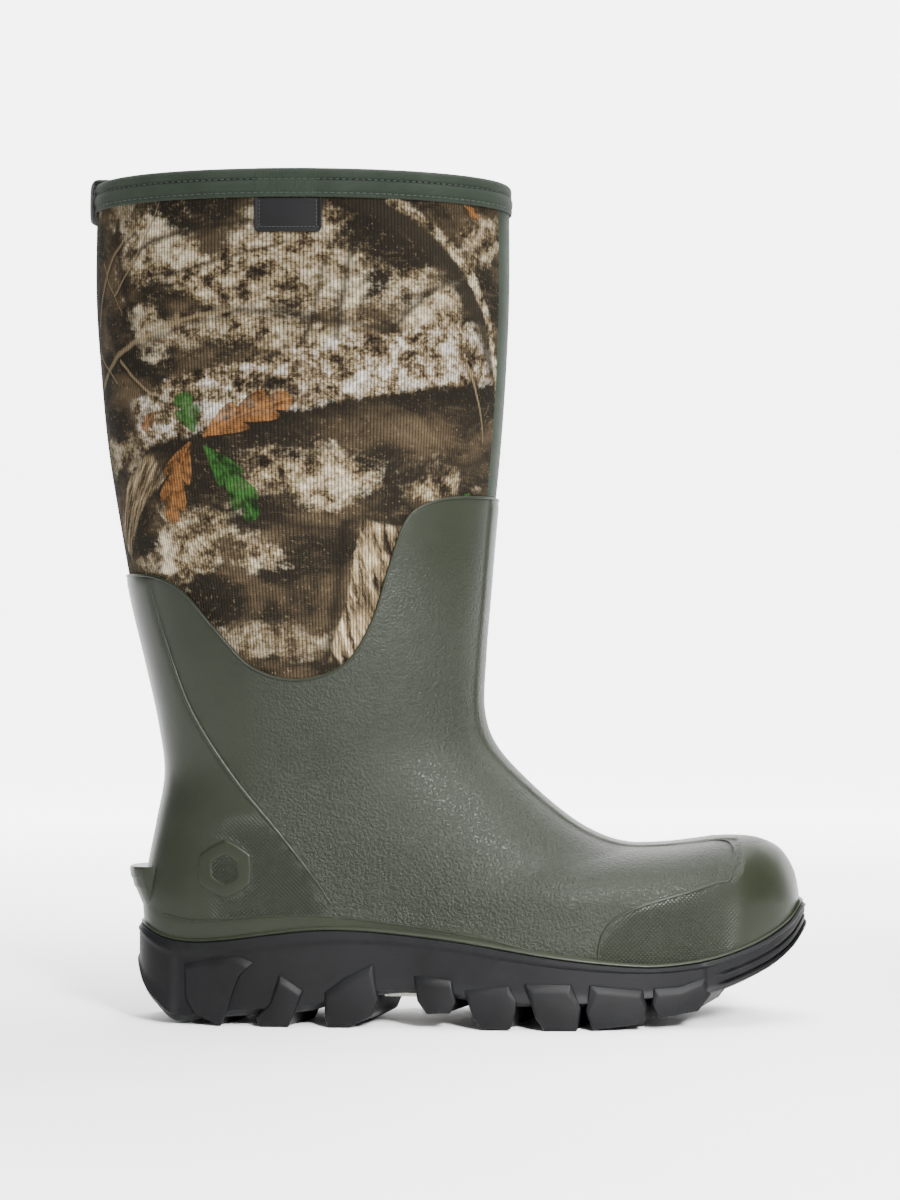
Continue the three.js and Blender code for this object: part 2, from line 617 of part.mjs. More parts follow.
// ---- insole board and footbed ---------------------------------------------------------------
const SIDE_CLEARANCE = 1.6;
const SLAB_FROM = toX(-128);
const SLAB_TO = toX(146);

// A slab over the lining's floor, from low to high above it, whose sides stay inside the lining by
// sideGap and are cut square at a further inset.
function floorSlab(low, high, sideGap, inset) {
  const stations = Array.from({ length: 25 }, (_, k) => THREE.MathUtils.lerp(SLAB_FROM, SLAB_TO, k / 24));
  const lineAt = (lift) => stations.map((x) => [x, floorHeight(x, liningInner) + lift]);
  const space = fullBody(liningInner + sideGap, SLEEVE_END);
  const reach = -liningInner - sideGap - inset;
  const outline = soleBlock([[reach, () => 120], [reach, () => 0]]);
  return space.intersect(outline).intersect(sidePrism([...lineAt(low), ...lineAt(high).reverse()]));
}
const board = floorSlab(-5, CLEARANCE + BOARD, CLEARANCE, 2);
const footbedLow = 2 * CLEARANCE + BOARD;
const footbed = floorSlab(footbedLow, footbedLow + FOOTBED, SIDE_CLEARANCE, 0);
const coverLow = footbedLow + FOOTBED + CLEARANCE;
const footbedCover = floorSlab(coverLow, coverLow + FOOTBED_COVER, SIDE_CLEARANCE, 0.5);

// ---- collar, patch and pull tab -------------------------------------------------------------------
const bindingLow = BOOT_HEIGHT - BINDING_FACE;
const collarBinding = collarRing([
  [bindingOuter, BOOT_HEIGHT], [bindingOuter, bindingLow], [bindingOuter + BINDING, bindingLow],
  [bindingOuter + BINDING, BOOT_HEIGHT - BINDING], [bindingInner, BOOT_HEIGHT - BINDING],
  [bindingInner, BOOT_HEIGHT - BINDING_INSIDE], [bindingInside, BOOT_HEIGHT - BINDING_INSIDE],
  [bindingInside, BOOT_HEIGHT],
]);
const bandTop = bindingLow - CLEARANCE;
const bandLow = bandTop - BAND_FACE;
const collarBand = collarRing([
  [bindingOuter, bandTop], [bindingOuter, bandLow],
  [bindingOuter + BINDING, bandLow], [bindingOuter + BINDING, bandTop],
]);

const patchMiddle = toX(-71.8);
const patchTop = bandLow - CLEARANCE;
const patchInner = clothOuter - CLEARANCE;
const labelPatch = wall(patchInner - PATCH, patchInner, 0, 2).intersect(block(
  [patchMiddle - PATCH_WIDTH / 2, -200, patchTop - PATCH_HEIGHT],
  [patchMiddle + PATCH_WIDTH / 2, 0, patchTop],
));

const tabOuter = bindingOuter - CLEARANCE;
const tabInner = bindingInside + CLEARANCE;
const tabRim = BOOT_HEIGHT + CLEARANCE;
const pullTab = collarRing([
  [tabOuter - TAB_WEBBING, tabRim + TAB_WEBBING], [tabOuter - TAB_WEBBING, BOOT_HEIGHT - TAB_DROP],
  [tabOuter, BOOT_HEIGHT - TAB_DROP], [tabOuter, tabRim], [tabInner, tabRim],
  [tabInner, BOOT_HEIGHT - TAB_DROP], [tabInner + TAB_WEBBING, BOOT_HEIGHT - TAB_DROP],
  [tabInner + TAB_WEBBING, tabRim + TAB_WEBBING],
]).intersect(block([toX(-300), -TAB_WIDTH / 2, 0], [shaftMiddle, TAB_WIDTH / 2, BOOT_HEIGHT + 50]));

// ---- materials and the assembly -----------------------------------------------------------------
const finish = (color, roughness) => new THREE.MeshStandardMaterial({ color, roughness, metalness: 0 });
const greenRubber = finish(0x4a4c3c, 0.55);
const blackRubber = finish(0x1c1c1e, 0.6);
const printedCloth = finish(0x6b5a45, 0.9);
const greenTape = finish(0x4a5443, 0.85);
const foam = finish(0x2a2a2a, 0.95);
const liningCloth = finish(0x3a3d38, 0.9);
const fibreBoard = finish(0x8a7a5c, 0.9);
const steel = new THREE.MeshStandardMaterial({ color: 0x9a9a9a, roughness: 0.4, metalness: 0.9 });
const whiteFoam = finish(0xd8d6cf, 0.8);

const boot = new THREE.Group();
function addPiece(name, solid, material) {
  const { vertProperties, triVerts } = solid.getMesh();
  const geometry = new THREE.BufferGeometry();
  geometry.setAttribute("position", new THREE.BufferAttribute(new Float32Array(vertProperties), 3));
  geometry.setIndex(new THREE.BufferAttribute(new Uint32Array(triVerts), 1));
  geometry.computeVertexNormals();
  const mesh = new THREE.Mesh(geometry, material);
  mesh.name = name;
  boot.add(mesh);
}

addPiece("outsole", outsole, blackRubber);
addPiece("midsole", midsole, whiteFoam);
addPiece("shank", shank, steel);
addPiece("rubber_upper", rubberUpper, greenRubber);
addPiece("kick_tab", kickTab, greenRubber);
addPiece("heel_counter", heelCounter, fibreBoard);
addPiece("toe_puff", toePuff, fibreBoard);
addPiece("shaft_insulation", shaftInsulation, foam);
addPiece("foot_insulation", footInsulation, foam);
addPiece("shaft_lining", shaftLining, liningCloth);
addPiece("foot_lining", footLining, liningCloth);
addPiece("insole_board", board, fibreBoard);
addPiece("footbed", footbed, foam);
addPiece("footbed_cover", footbedCover, liningCloth);
addPiece("outer_cloth_panel", outerPanel, printedCloth);
addPiece("inner_cloth_panel", innerPanel, printedCloth);
addPiece("front_seam_strip", frontStrip, greenTape);
addPiece("rear_seam_strip", rearStrip, greenTape);
addPiece("collar_binding", collarBinding, greenTape);
addPiece("collar_band", collarBand, greenTape);
addPiece("label_patch", labelPatch, blackRubber);
addPiece("rear_pull_tab", pullTab, greenTape);

export default boot;
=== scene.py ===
"""Insulated pull-on hunting boot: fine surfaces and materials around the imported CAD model.

Lengths in this file are millimetres in the boot's own frame (+X to the toe, +Y to the inner side of
the foot, +Z up), and MM turns them into metres. The lights and the camera are placed in metres.
"""
import math

import bmesh
import bpy
import numpy as np
from bpy.props import FloatProperty, FloatVectorProperty, IntProperty, PointerProperty
from bpy.types import Operator, Panel, PropertyGroup
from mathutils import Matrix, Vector
from mathutils.bvhtree import BVHTree


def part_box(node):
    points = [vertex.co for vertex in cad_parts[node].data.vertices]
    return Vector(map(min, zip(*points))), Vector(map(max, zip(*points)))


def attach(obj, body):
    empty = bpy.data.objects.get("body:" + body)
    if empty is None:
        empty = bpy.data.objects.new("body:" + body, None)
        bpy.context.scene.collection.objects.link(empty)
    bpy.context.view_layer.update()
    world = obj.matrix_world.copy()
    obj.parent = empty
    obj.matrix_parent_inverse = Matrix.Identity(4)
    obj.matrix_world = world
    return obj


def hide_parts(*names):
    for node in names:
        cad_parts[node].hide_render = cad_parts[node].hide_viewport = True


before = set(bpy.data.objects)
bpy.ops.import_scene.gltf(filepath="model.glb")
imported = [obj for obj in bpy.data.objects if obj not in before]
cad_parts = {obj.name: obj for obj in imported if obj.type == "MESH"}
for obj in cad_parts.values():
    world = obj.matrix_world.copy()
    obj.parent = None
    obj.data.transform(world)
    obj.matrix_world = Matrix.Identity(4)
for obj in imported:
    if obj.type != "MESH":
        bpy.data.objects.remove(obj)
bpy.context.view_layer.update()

bl_info = {
    "name": "Insulated hunting boot",
    "version": (1, 0, 0),
    "blender": (4, 5, 0),
    "location": "3D View > Sidebar > Boot",
    "description": "Builds the surfaces and materials of a tall insulated rubber boot",
    "category": "Add Mesh",
}

MM = 0.001
MERGE_DISTANCE = 0.02  # points of a grid that lie this near become one

# ---- the boot's profile, as the CAD model draws it ----------------------------------------------

# From the collar down the shaft, round the ankle and to the toe. Each section gives the front (or
# top) line's x and z, the back (or bottom) line's x and z, the shaft's half-width, how far the foot's
# plan has taken over, and the squareness at its front and its back.
SECTIONS = np.array([
    (30.0, 386, -164.6, 386, 44.4, 0, 2.0, 2.1),
    (30.0, 335, -164.8, 335, 46.0, 0, 2.0, 2.1),
    (28.4, 297, -162.0, 295, 47.5, 0, 2.0, 2.1),
    (25.9, 262, -158.6, 262, 48.0, 0, 2.0, 2.1),
    (22.6, 228, -153.0, 228, 47.5, 0, 2.0, 2.1),
    (19.9, 196, -146.7, 194, 46.5, 0, 2.0, 2.1),
    (17.4, 164.6, -138.9, 162, 44.5, 0, 2.0, 2.2),
    (16.9, 141, -133.0, 136, 42.0, 0, 2.0, 2.3),
    (23.0, 124, -130.0, 113, 39.5, 0.2, 2.0, 2.4),
    (40.0, 105.6, -133.4, 91, 38.5, 0.55, 2.1, 2.6),
    (58.0, 90.8, -137.3, 70, 37.5, 0.9, 2.1, 2.8),
    (72.0, 83.2, -138.9, 50, 37.5, 1, 2.1, 3.0),
    (84.0, 79.9, -133.0, 31.5, 37.5, 1, 2.2, 3.1),
    (95.0, 79.6, -105.0, 28.5, 37.5, 1, 2.2, 3.8),
    (105.5, 80.2, -62.0, 27.5, 37.5, 1, 2.2, 5.0),
    (115.5, 81.4, -15.0, 25.0, 37.5, 1, 2.2, 6.0),
    (125.5, 82.6, 32.0, 21.0, 37.5, 1, 2.3, 6.0),
    (135.5, 82.8, 75.0, 18.5, 37.5, 1, 2.3, 6.0),
    (145.0, 81.5, 108.0, 20.0, 37.5, 1, 2.3, 5.0),
    (153.8, 77.2, 134.0, 26.0, 37.5, 1, 2.2, 4.0),
    (159.6, 69.0, 150.0, 35.0, 37.5, 1, 2.1, 3.0),
    (162.1, 60.5, 158.0, 43.0, 37.5, 1, 2.0, 2.5),
    (162.8, 52.5, 162.8, 52.5, 37.5, 1, 2.0, 2.0),
])
LAST = len(SECTIONS) - 1
SLEEVE_END = 7  # the bootie's shaft and foot are joined at this section
SLEEVE_GAP = 0.02  # of a section, left between them

# The foot's plan: x, half-width and how far the middle lies to the inner side.
PLAN = np.array([
    (-140, 36.5, 0), (-60, 36.75, -0.75), (-20, 38.5, -3), (20, 44, -4.5), (50, 49, -2.5),
    (80, 50.5, 1), (105, 50, 3.5), (163, 49, 8.5),
])
TOE_ROUND_FROM = 78
# The rubber's wavy upper edge and the line between rubber and sole, as x, z in the side view.
RUBBER_EDGE = np.array([
    (-190, 205), (-138, 203), (-121, 196), (-105, 178.5), (-88, 161), (-67, 155.2), (-45, 163),
    (-33, 183), (-26, 206), (-19, 226), (-9, 234.5), (10, 238.6), (60, 239.5),
])
SOLE_LINE = np.array([
    (-140, 44.5), (-128, 38.8), (-110, 37.3), (-55, 43), (-3, 39.3), (50, 31.1), (85, 27.5),
    (103, 28), (121.5, 30.9), (140.6, 37.1), (156.3, 45.6), (163, 53),
])
# The sole's underside between its treads, as x, z in the side view.
SOLE_BASE = np.array([
    (-142, 27), (-138, 16), (-131, 8.5), (-124, 3), (-117, 2.2), (-110, 3.5), (-97, 5), (-62, 8),
    (-42, 13), (-20, 16), (2, 14.5), (20, 11.5), (60, 11), (90, 13.5), (112, 14), (142, 24),
    (157, 33), (168, 45),
])
# How deep each layer starts under the boot's outside, and how thick it is.
RUBBER_GAUGE = 2.0
CLOTH_DEPTH = 1.4
CLOTH_GAUGE = 1.0
FOAM_DEPTH = 2.7
FOAM_GAUGE = 5.5
LINING_DEPTH = 8.5
LINING_GAUGE = 0.8
RIM = 386.0
FIRST_SECTION = 51.0  # the height between the first two sections
SHAFT_MIDDLE = (SECTIONS[4, 0] + SECTIONS[4, 2]) / 2
CLOTH_UNDER_RUBBER = 12  # how far the cloth and the strips go on below the rubber's edge


def hermite(b, c, rise, fall, t):
    """The cubic from b to c that starts with the slope rise and ends with the slope fall."""
    return b + rise * t + (3 * (c - b) - 2 * rise - fall) * t**2 + (2 * (b - c) + rise + fall) * t**3


def catmull_rom(a, b, c, d, t):
    return hermite(b, c, (c - a) / 2, (d - b) / 2, t)


def signed_power(value, power):
    return np.sign(value) * np.abs(value) ** power


def along(column, s):
    """One column of the sections, read smoothly at s."""
    values = SECTIONS[:, column]
    row = np.concatenate([[2 * values[0] - values[1]], values, [2 * values[-1] - values[-2]]])
    i = np.clip(np.floor(s).astype(int), 0, LAST - 1)
    return catmull_rom(row[i], row[i + 1], row[i + 2], row[i + 3], s - i)


def curve_at(points, x, column=1):
    """A smooth curve through points that start with their x, read at x."""
    xs, values = points[:, 0], points[:, column]
    i = np.clip(np.searchsorted(xs, x) - 1, 0, len(xs) - 2)
    low, high = np.maximum(np.arange(len(xs)) - 1, 0), np.minimum(np.arange(len(xs)) + 1, len(xs) - 1)
    slopes = (values[high] - values[low]) / (xs[high] - xs[low])
    span = xs[i + 1] - xs[i]
    t = np.clip((x - xs[i]) / span, 0, 1)
    return hermite(values[i], values[i + 1], slopes[i] * span, slopes[i + 1] * span, t)


def sole_line(x):
    return curve_at(SOLE_LINE, x)


def plan_half(x, depth):
    u = np.clip((x - TOE_ROUND_FROM) / (SECTIONS[LAST, 0] - depth - TOE_ROUND_FROM), 0, 1)
    return (curve_at(PLAN, x) - depth) * (1 - u**2.3) ** (1 / 2.1)


def plan_middle(x):
    return curve_at(PLAN, x, 2)


def line_end(which, s, depth):
    """The end of section s on the front (0) or back (1) line, moved inwards by depth."""
    column = 2 * which
    before, after = np.maximum(s - 0.5, 0), np.minimum(s + 0.5, LAST)
    dx = along(column, after) - along(column, before)
    dz = along(column + 1, after) - along(column + 1, before)
    length = np.hypot(dx, dz)
    side = -1 if which == 0 else 1
    return (along(column, s) - depth * side * dz / length,
            along(column + 1, s) + depth * side * dx / length)


def surface(s, angle, depth=0.0):
    """Points that lie depth inside the boot's outside. s runs down the sections; angle goes from the
    front by the outer side (-Y) to the back and the inner side."""
    s, angle, depth = np.broadcast_arrays(np.asarray(s, float), angle, depth)
    front_x, front_z = line_end(0, s, depth)
    back_x, back_z = line_end(1, s, depth)
    cosine, sine = np.cos(angle), np.sin(angle)
    n = np.where(cosine > 0, along(6, s), along(7, s))
    c = signed_power(cosine, 2 / n)
    e = np.abs(sine) ** (2 / n)
    x = (front_x + back_x) / 2 + c * (front_x - back_x) / 2
    z = (front_z + back_z) / 2 + c * (front_z - back_z) / 2
    foot = np.clip(along(5, s), 0, 1)
    half = (along(4, s) - depth) * (1 - foot) + plan_half(x, depth) * foot
    y = np.where(sine >= 0, -1, 1) * e * half + foot * plan_middle(x)
    tip = s >= LAST
    x = np.where(tip, SECTIONS[LAST, 0] - depth, x)
    y = np.where(tip, plan_middle(SECTIONS[LAST, 0]), y)
    z = np.where(tip, SECTIONS[LAST, 1], z)
    return np.stack([x, y, z], axis=-1)


def bisect(above, low, high, steps=28):
    """Where above(value) turns from true to false between low and high, for whole arrays."""
    for _ in range(steps):
        middle = (low + high) / 2
        is_above = above(middle)
        low = np.where(is_above, middle, low)
        high = np.where(is_above, high, middle)
    return (low + high) / 2


def edge_section(angle, drop=0.0):
    """The section at which each angle meets the rubber's upper edge, lowered by drop."""
    def above(s):
        p = surface(s, angle)
        return p[..., 2] > curve_at(RUBBER_EDGE, p[..., 0]) - drop
    return bisect(above, np.full(np.shape(angle), 1.0), np.full(np.shape(angle), 9.0))


def even_angles(u):
    """Angles for u from 0 to 1 round the boot, closer together at the narrow front and back."""
    return 2 * math.pi * u - 0.2 * np.sin(4 * math.pi * u)


def on_side(angle, side):
    """An angle of the outer side (-1), or the one across from it on the inner side (1)."""
    return angle if side < 0 else 2 * math.pi - angle


def angle_at(x, s=0.0):
    """The angle on the outer side at which section s has this x."""
    s = np.asarray(float(s))
    front, back = along(0, s), along(2, s)
    c = (x - (front + back) / 2) / ((front - back) / 2)
    n = along(6, s) if c > 0 else along(7, s)
    return math.acos(math.copysign(abs(c) ** (n / 2), c))


def sole_perimeter(count):
    """The line where the sole's top edge meets the upper, evenly spaced from the heel by the outer
    side to the toe and back: points and outward directions in plan."""
    start = float(bisect(lambda s: surface(s, math.pi)[..., 2] > sole_line(surface(s, math.pi)[..., 0]),
                         np.asarray(10.0), np.asarray(12.5), 40))
    s = start + (LAST - start) * np.linspace(0, 1, 600) ** 2

    def above(angle):
        p = surface(s, angle)
        return p[..., 2] > sole_line(p[..., 0])
    angle = bisect(above, np.full(s.shape, math.pi / 6), np.full(s.shape, math.pi))
    outer = surface(s, angle)
    length = np.concatenate([[0], np.cumsum(np.linalg.norm(np.diff(outer, axis=0), axis=1))])
    even = np.linspace(0, length[-1], count + 1)
    outer = np.stack([np.interp(even, length, outer[:, k]) for k in range(3)], axis=1)
    inner = outer[1:-1][::-1].copy()
    inner[:, 1] = 2 * plan_middle(inner[:, 0]) - inner[:, 1]
    ring = np.concatenate([outer, inner])
    tangent = np.roll(ring, -1, axis=0) - np.roll(ring, 1, axis=0)
    tangent /= np.linalg.norm(tangent[:, :2], axis=1, keepdims=True)
    return ring, np.stack([tangent[:, 1], -tangent[:, 0]], axis=1)


def smooth_step(value, low, high):
    t = np.clip((value - low) / (high - low), 0, 1)
    return t * t * (3 - 2 * t)


# ---- modelling helpers --------------------------------------------------------------------------

def deselect_all():
    if bpy.context.mode != "OBJECT":
        bpy.ops.object.mode_set(mode="OBJECT")
    bpy.ops.object.select_all(action="DESELECT")


def make_active(piece):
    deselect_all()
    piece.select_set(True)
    bpy.context.view_layer.objects.active = piece


def put_points(piece, points):
    piece.data.vertices.foreach_set("co", np.ascontiguousarray(points * MM, np.float32).ravel())
    piece.data.update()


def apply_modifier(piece, kind, **settings):
    make_active(piece)
    modifier = piece.modifiers.new(kind.title(), kind)
    for name, value in settings.items():
        setattr(modifier, name, value)
    bpy.ops.object.modifier_apply(modifier=modifier.name)


def solidify(piece, thickness, offset=-1):
    apply_modifier(piece, "SOLIDIFY", thickness=thickness * MM, offset=offset)


def bevel(piece, width, degrees):
    """Rounds the edges that are sharper than an angle."""
    apply_modifier(piece, "BEVEL", width=width * MM, segments=2, limit_method="ANGLE",
                   angle_limit=math.radians(degrees))


def edit_mesh(piece, operator, **settings):
    """Runs one mesh operator on the whole of a piece."""
    make_active(piece)
    bpy.ops.object.mode_set(mode="EDIT")
    bpy.ops.mesh.select_all(action="SELECT")
    operator(**settings)
    bpy.ops.object.mode_set(mode="OBJECT")


def face_outwards(piece):
    edit_mesh(piece, bpy.ops.mesh.normals_make_consistent, inside=False)


def outward_side(piece, middle):
    """Turns the faces of an open skin so that they face away from a point inside it."""
    middle = Vector(middle) * MM
    if sum(face.area * face.normal.dot(face.center - middle) for face in piece.data.polygons) < 0:
        edit_mesh(piece, bpy.ops.mesh.flip_normals)


def linked_object(name, data):
    piece = bpy.data.objects.new(name, data)
    bpy.context.collection.objects.link(piece)
    return piece


def grid_piece(name, columns, rows, place, uv_of=None, marks=None):
    """A grid whose points are moved to place(u, v), with its seam and pole merged. uv_of(u, v) gives
    its UV map and marks(u, v) named values for each point."""
    deselect_all()
    bpy.ops.mesh.primitive_grid_add(x_subdivisions=columns, y_subdivisions=rows, size=2, calc_uvs=True)
    piece = bpy.context.active_object
    piece.name = piece.data.name = name
    mesh = piece.data
    flat = np.zeros(len(mesh.vertices) * 3, np.float32)
    mesh.vertices.foreach_get("co", flat)
    u, v = ((flat.reshape(-1, 3)[:, :2].astype(float) + 1) / 2).T
    u, v = np.round(u * columns) / columns, np.round(v * rows) / rows
    put_points(piece, place(u, v))
    if uv_of:
        owner = np.zeros(len(mesh.loops), np.int32)
        mesh.loops.foreach_get("vertex_index", owner)
        uv = np.stack(uv_of(u, v), axis=-1)[owner]
        mesh.uv_layers.active.data.foreach_set("uv", uv.astype(np.float32).ravel())
    for key, values in (marks(u, v) if marks else {}).items():
        mesh.attributes.new(key, "FLOAT", "POINT").data.foreach_set("value", values.astype(np.float32))
    edit_mesh(piece, bpy.ops.mesh.remove_doubles, threshold=MERGE_DISTANCE * MM)
    return piece


def finish_piece(piece, material, body="boot", angle=35, replaces=()):
    """Smooth shading, material, body, and what the piece stands for."""
    make_active(piece)
    bpy.ops.object.shade_smooth_by_angle(angle=math.radians(angle))
    piece.data.materials.clear()
    piece.data.materials.append(material)
    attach(piece, body)
    if replaces:
        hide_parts(*replaces)


def join_pieces(name, pieces):
    deselect_all()
    for piece in pieces:
        piece.select_set(True)
    bpy.context.view_layer.objects.active = pieces[0]
    bpy.ops.object.join()
    pieces[0].name = pieces[0].data.name = name
    return pieces[0]


def lofted(name, stations, marks=()):
    """A closed piece through outlines of as many points each, with both ends filled."""
    shaped = bmesh.new()
    loops = [[shaped.verts.new(Vector([float(c) for c in p]) * MM) for p in station]
             for station in stations]
    for a, b in zip(loops, loops[1:]):
        for i in range(len(a)):
            j = (i + 1) % len(a)
            shaped.faces.new((a[i], a[j], b[j], b[i]))
    shaped.faces.new(loops[0][::-1])
    shaped.faces.new(loops[-1])
    bmesh.ops.recalc_face_normals(shaped, faces=shaped.faces)
    for key in marks:
        shaped.verts.layers.float.new(key)
    mesh = bpy.data.meshes.new(name)
    shaped.to_mesh(mesh)
    shaped.free()
    return linked_object(name, mesh)


def copies(prototype, places):
    """Copies of a small mesh, as one object: each place is its centre, direction and outward."""
    count = len(prototype.data.vertices)
    base = np.zeros(count * 3, np.float32)
    prototype.data.vertices.foreach_get("co", base)
    base = base.reshape(-1, 3)
    faces = [tuple(p.vertices) for p in prototype.data.polygons]
    points, polygons = [], []
    for centre, direction, outward in places:
        side = np.cross(outward, direction)
        points.append(np.asarray(centre) * MM + base @ np.stack([direction, side, outward]))
        polygons += [tuple(i + count * (len(points) - 1) for i in face) for face in faces]
    mesh = bpy.data.meshes.new(prototype.name)
    mesh.from_pydata(np.concatenate(points).tolist(), [], polygons)
    piece = linked_object(prototype.name, mesh)
    bpy.data.objects.remove(prototype)
    return piece


def stitch_prototype(length, width):
    """One lock stitch: a short round-ended bar lying on the cloth."""
    deselect_all()
    bpy.ops.mesh.primitive_uv_sphere_add(segments=6, ring_count=5, radius=1)
    stitch = bpy.context.active_object
    stitch.name = "stitch"
    points = np.array([v.co for v in stitch.data.vertices])
    bar = [signed_power(points[:, 2], 0.5) * length, points[:, 0] * width, points[:, 1] * width]
    put_points(stitch, np.stack(bar, axis=1) / 2)
    return stitch


def stitches_along(path, outwards, length, gap):
    """Stitches laid end to end along a path of points, with an outward direction at each point."""
    steps = np.linalg.norm(np.diff(path, axis=0), axis=1)
    run = np.concatenate([[0], np.cumsum(steps)])
    count = max(int(run[-1] // (length + gap)), 1)
    middles = (np.arange(count) + 0.5) * run[-1] / count

    def at(values, distance):
        return np.stack([np.interp(distance, run, values[:, k]) for k in range(3)], axis=1)
    direction = at(path, middles + 0.4) - at(path, middles - 0.4)
    direction /= np.linalg.norm(direction, axis=1, keepdims=True)
    outward = at(outwards, middles)
    outward -= direction * np.sum(outward * direction, axis=1, keepdims=True)
    outward /= np.linalg.norm(outward, axis=1, keepdims=True)
    return list(zip(at(path, middles), direction, outward))


def tube(name, path, radii, closed=False):
    """A round bar along a path of points, with a radius at each."""
    curve = bpy.data.curves.new(name, "CURVE")
    curve.dimensions = "3D"
    curve.bevel_depth = MM
    curve.bevel_resolution = 2
    curve.use_fill_caps = True
    spline = curve.splines.new("POLY")
    spline.points.add(len(path) - 1)
    spline.points.foreach_set("co", np.c_[np.asarray(path) * MM, np.ones(len(path))].ravel())
    spline.points.foreach_set("radius", radii)
    spline.use_cyclic_u = closed
    make_active(linked_object(name, curve))
    bpy.ops.object.convert(target="MESH")
    return bpy.context.active_object


def smooth_path(points, step=1.5):
    """A Catmull-Rom path through given points, with a point about every step."""
    points = np.asarray(points, float)
    row = np.concatenate([2 * points[:1] - points[1:2], points, 2 * points[-1:] - points[-2:-1]])
    path = []
    for i in range(len(points) - 1):
        count = max(int(np.linalg.norm(row[i + 2] - row[i + 1]) / step), 2)
        t = np.linspace(0, 1, count, endpoint=False)[:, None]
        path.append(catmull_rom(row[i], row[i + 1], row[i + 2], row[i + 3], t))
    return np.concatenate([*path, points[-1:]])


# ---- shader helpers -----------------------------------------------------------------------------

class Field:
    """A number that varies over a surface. Sums on it add Math nodes."""

    def __init__(self, graph, socket):
        self.graph, self.socket = graph, socket

    def math(self, operation, *others, clamp=False):
        settings = {"operation": operation, "use_clamp": clamp}
        return self.graph.field("ShaderNodeMath", settings, dict(enumerate([self, *others])))

    def __add__(self, other):
        return self.math("ADD", other)

    def __sub__(self, other):
        return self.math("SUBTRACT", other)

    def __mul__(self, other):
        return self.math("MULTIPLY", other)

    def __truediv__(self, other):
        return self.math("DIVIDE", other)

    def __pow__(self, other):
        return self.math("POWER", other)

    def __neg__(self):
        return self.math("MULTIPLY", -1.0)

    def __abs__(self):
        return self.math("ABSOLUTE")

    def __rsub__(self, other):
        return (-self).math("ADD", other)

    __radd__ = __add__
    __rmul__ = __mul__

    def step(self, low, high):
        """0 at low and 1 at high, with a smooth rise; low may be the greater."""
        inputs = {0: self, 1: low, 2: high, 3: 0.0, 4: 1.0}
        return self.graph.field("ShaderNodeMapRange", {"interpolation_type": "SMOOTHSTEP"}, inputs)


class Tree:
    """A node tree that sums on fields add nodes to."""
    groups = {}

    def __init__(self, tree):
        self.nodes, self.links = tree.nodes, tree.links

    def node(self, kind, settings=None, inputs=None):
        made = self.nodes.new(kind)
        made.select = False
        for name, value in (settings or {}).items():
            if name == "stops":
                ramp = made.color_ramp
                while len(ramp.elements) < len(value):
                    ramp.elements.new(0.5)
                for element, (position, colour) in zip(ramp.elements, value):
                    element.position, element.color = position, (*colour, 1)
            else:
                setattr(made, name, value)
        for key, value in (inputs or {}).items():
            self.feed(made.inputs[key], value)
        return made

    def feed(self, socket, value):
        value = value.socket if isinstance(value, Field) else value
        if isinstance(value, bpy.types.NodeSocket):
            self.links.new(value, socket)
        else:
            socket.default_value = value

    def field(self, kind, settings=None, inputs=None, output=0):
        return Field(self, self.node(kind, settings, inputs).outputs[output])

    def call(self, function, *arguments):
        """What the function gives for its arguments, worked out in a node group of its own."""
        if function not in self.groups:
            self.groups[function] = group_of(function, len(arguments))
        settings = {"node_tree": self.groups[function]}
        made = self.node("ShaderNodeGroup", settings, dict(enumerate(arguments)))
        fields = [Field(self, socket) for socket in made.outputs]
        return fields if len(fields) > 1 else fields[0]

    def noise(self, place, scale, detail=3.0, roughness=0.55, distortion=0.0):
        return self.field("ShaderNodeTexNoise", {"noise_dimensions": "3D"}, {
            "Vector": place, "Scale": scale, "Detail": detail, "Roughness": roughness,
            "Distortion": distortion,
        })

    def object_place(self):
        """Object coordinates in millimetres: a vector and its x, y and z."""
        coordinates = self.node("ShaderNodeTexCoord").outputs["Object"]
        return self.scaled(coordinates, (1000, 1000, 1000))

    def scaled(self, vector, factors):
        product = self.node("ShaderNodeVectorMath", {"operation": "MULTIPLY"}, {0: vector, 1: factors})
        place = product.outputs[0]
        parts = self.node("ShaderNodeSeparateXYZ", None, {0: place}).outputs
        return place, [Field(self, part) for part in parts]

    def vector(self, x, y, z=0.0):
        return self.node("ShaderNodeCombineXYZ", None, {0: x, 1: y, 2: z}).outputs[0]

    def mark(self, name):
        """A value that the piece's points carry."""
        return self.field("ShaderNodeAttribute", {"attribute_name": name}, None, "Fac")

    def mix(self, factor, first, second):
        made = self.node("ShaderNodeMix", {"data_type": "RGBA"})
        for key, value in ((0, factor), (6, first), (7, second)):
            value = (*value, 1) if isinstance(value, tuple) and len(value) == 3 else value
            self.feed(made.inputs[key], value)
        return made.outputs[2]

    def ramp(self, factor, stops):
        return self.node("ShaderNodeValToRGB", {"stops": stops}, {0: factor}).outputs[0]


def group_of(function, count):
    """A node group that takes count numbers and gives what the function makes of them."""
    tree = bpy.data.node_groups.new(function.__name__, "ShaderNodeTree")
    for i in range(count):
        tree.interface.new_socket(f"value {i + 1}", in_out="INPUT", socket_type="NodeSocketFloat")
    graph = Tree(tree)
    entry = graph.node("NodeGroupInput")
    results = function(*[Field(graph, socket) for socket in entry.outputs[:count]])
    results = results if isinstance(results, tuple) else (results,)
    for i in range(len(results)):
        tree.interface.new_socket(f"result {i + 1}", in_out="OUTPUT", socket_type="NodeSocketFloat")
    graph.node("NodeGroupOutput", None, dict(enumerate(results)))
    return tree


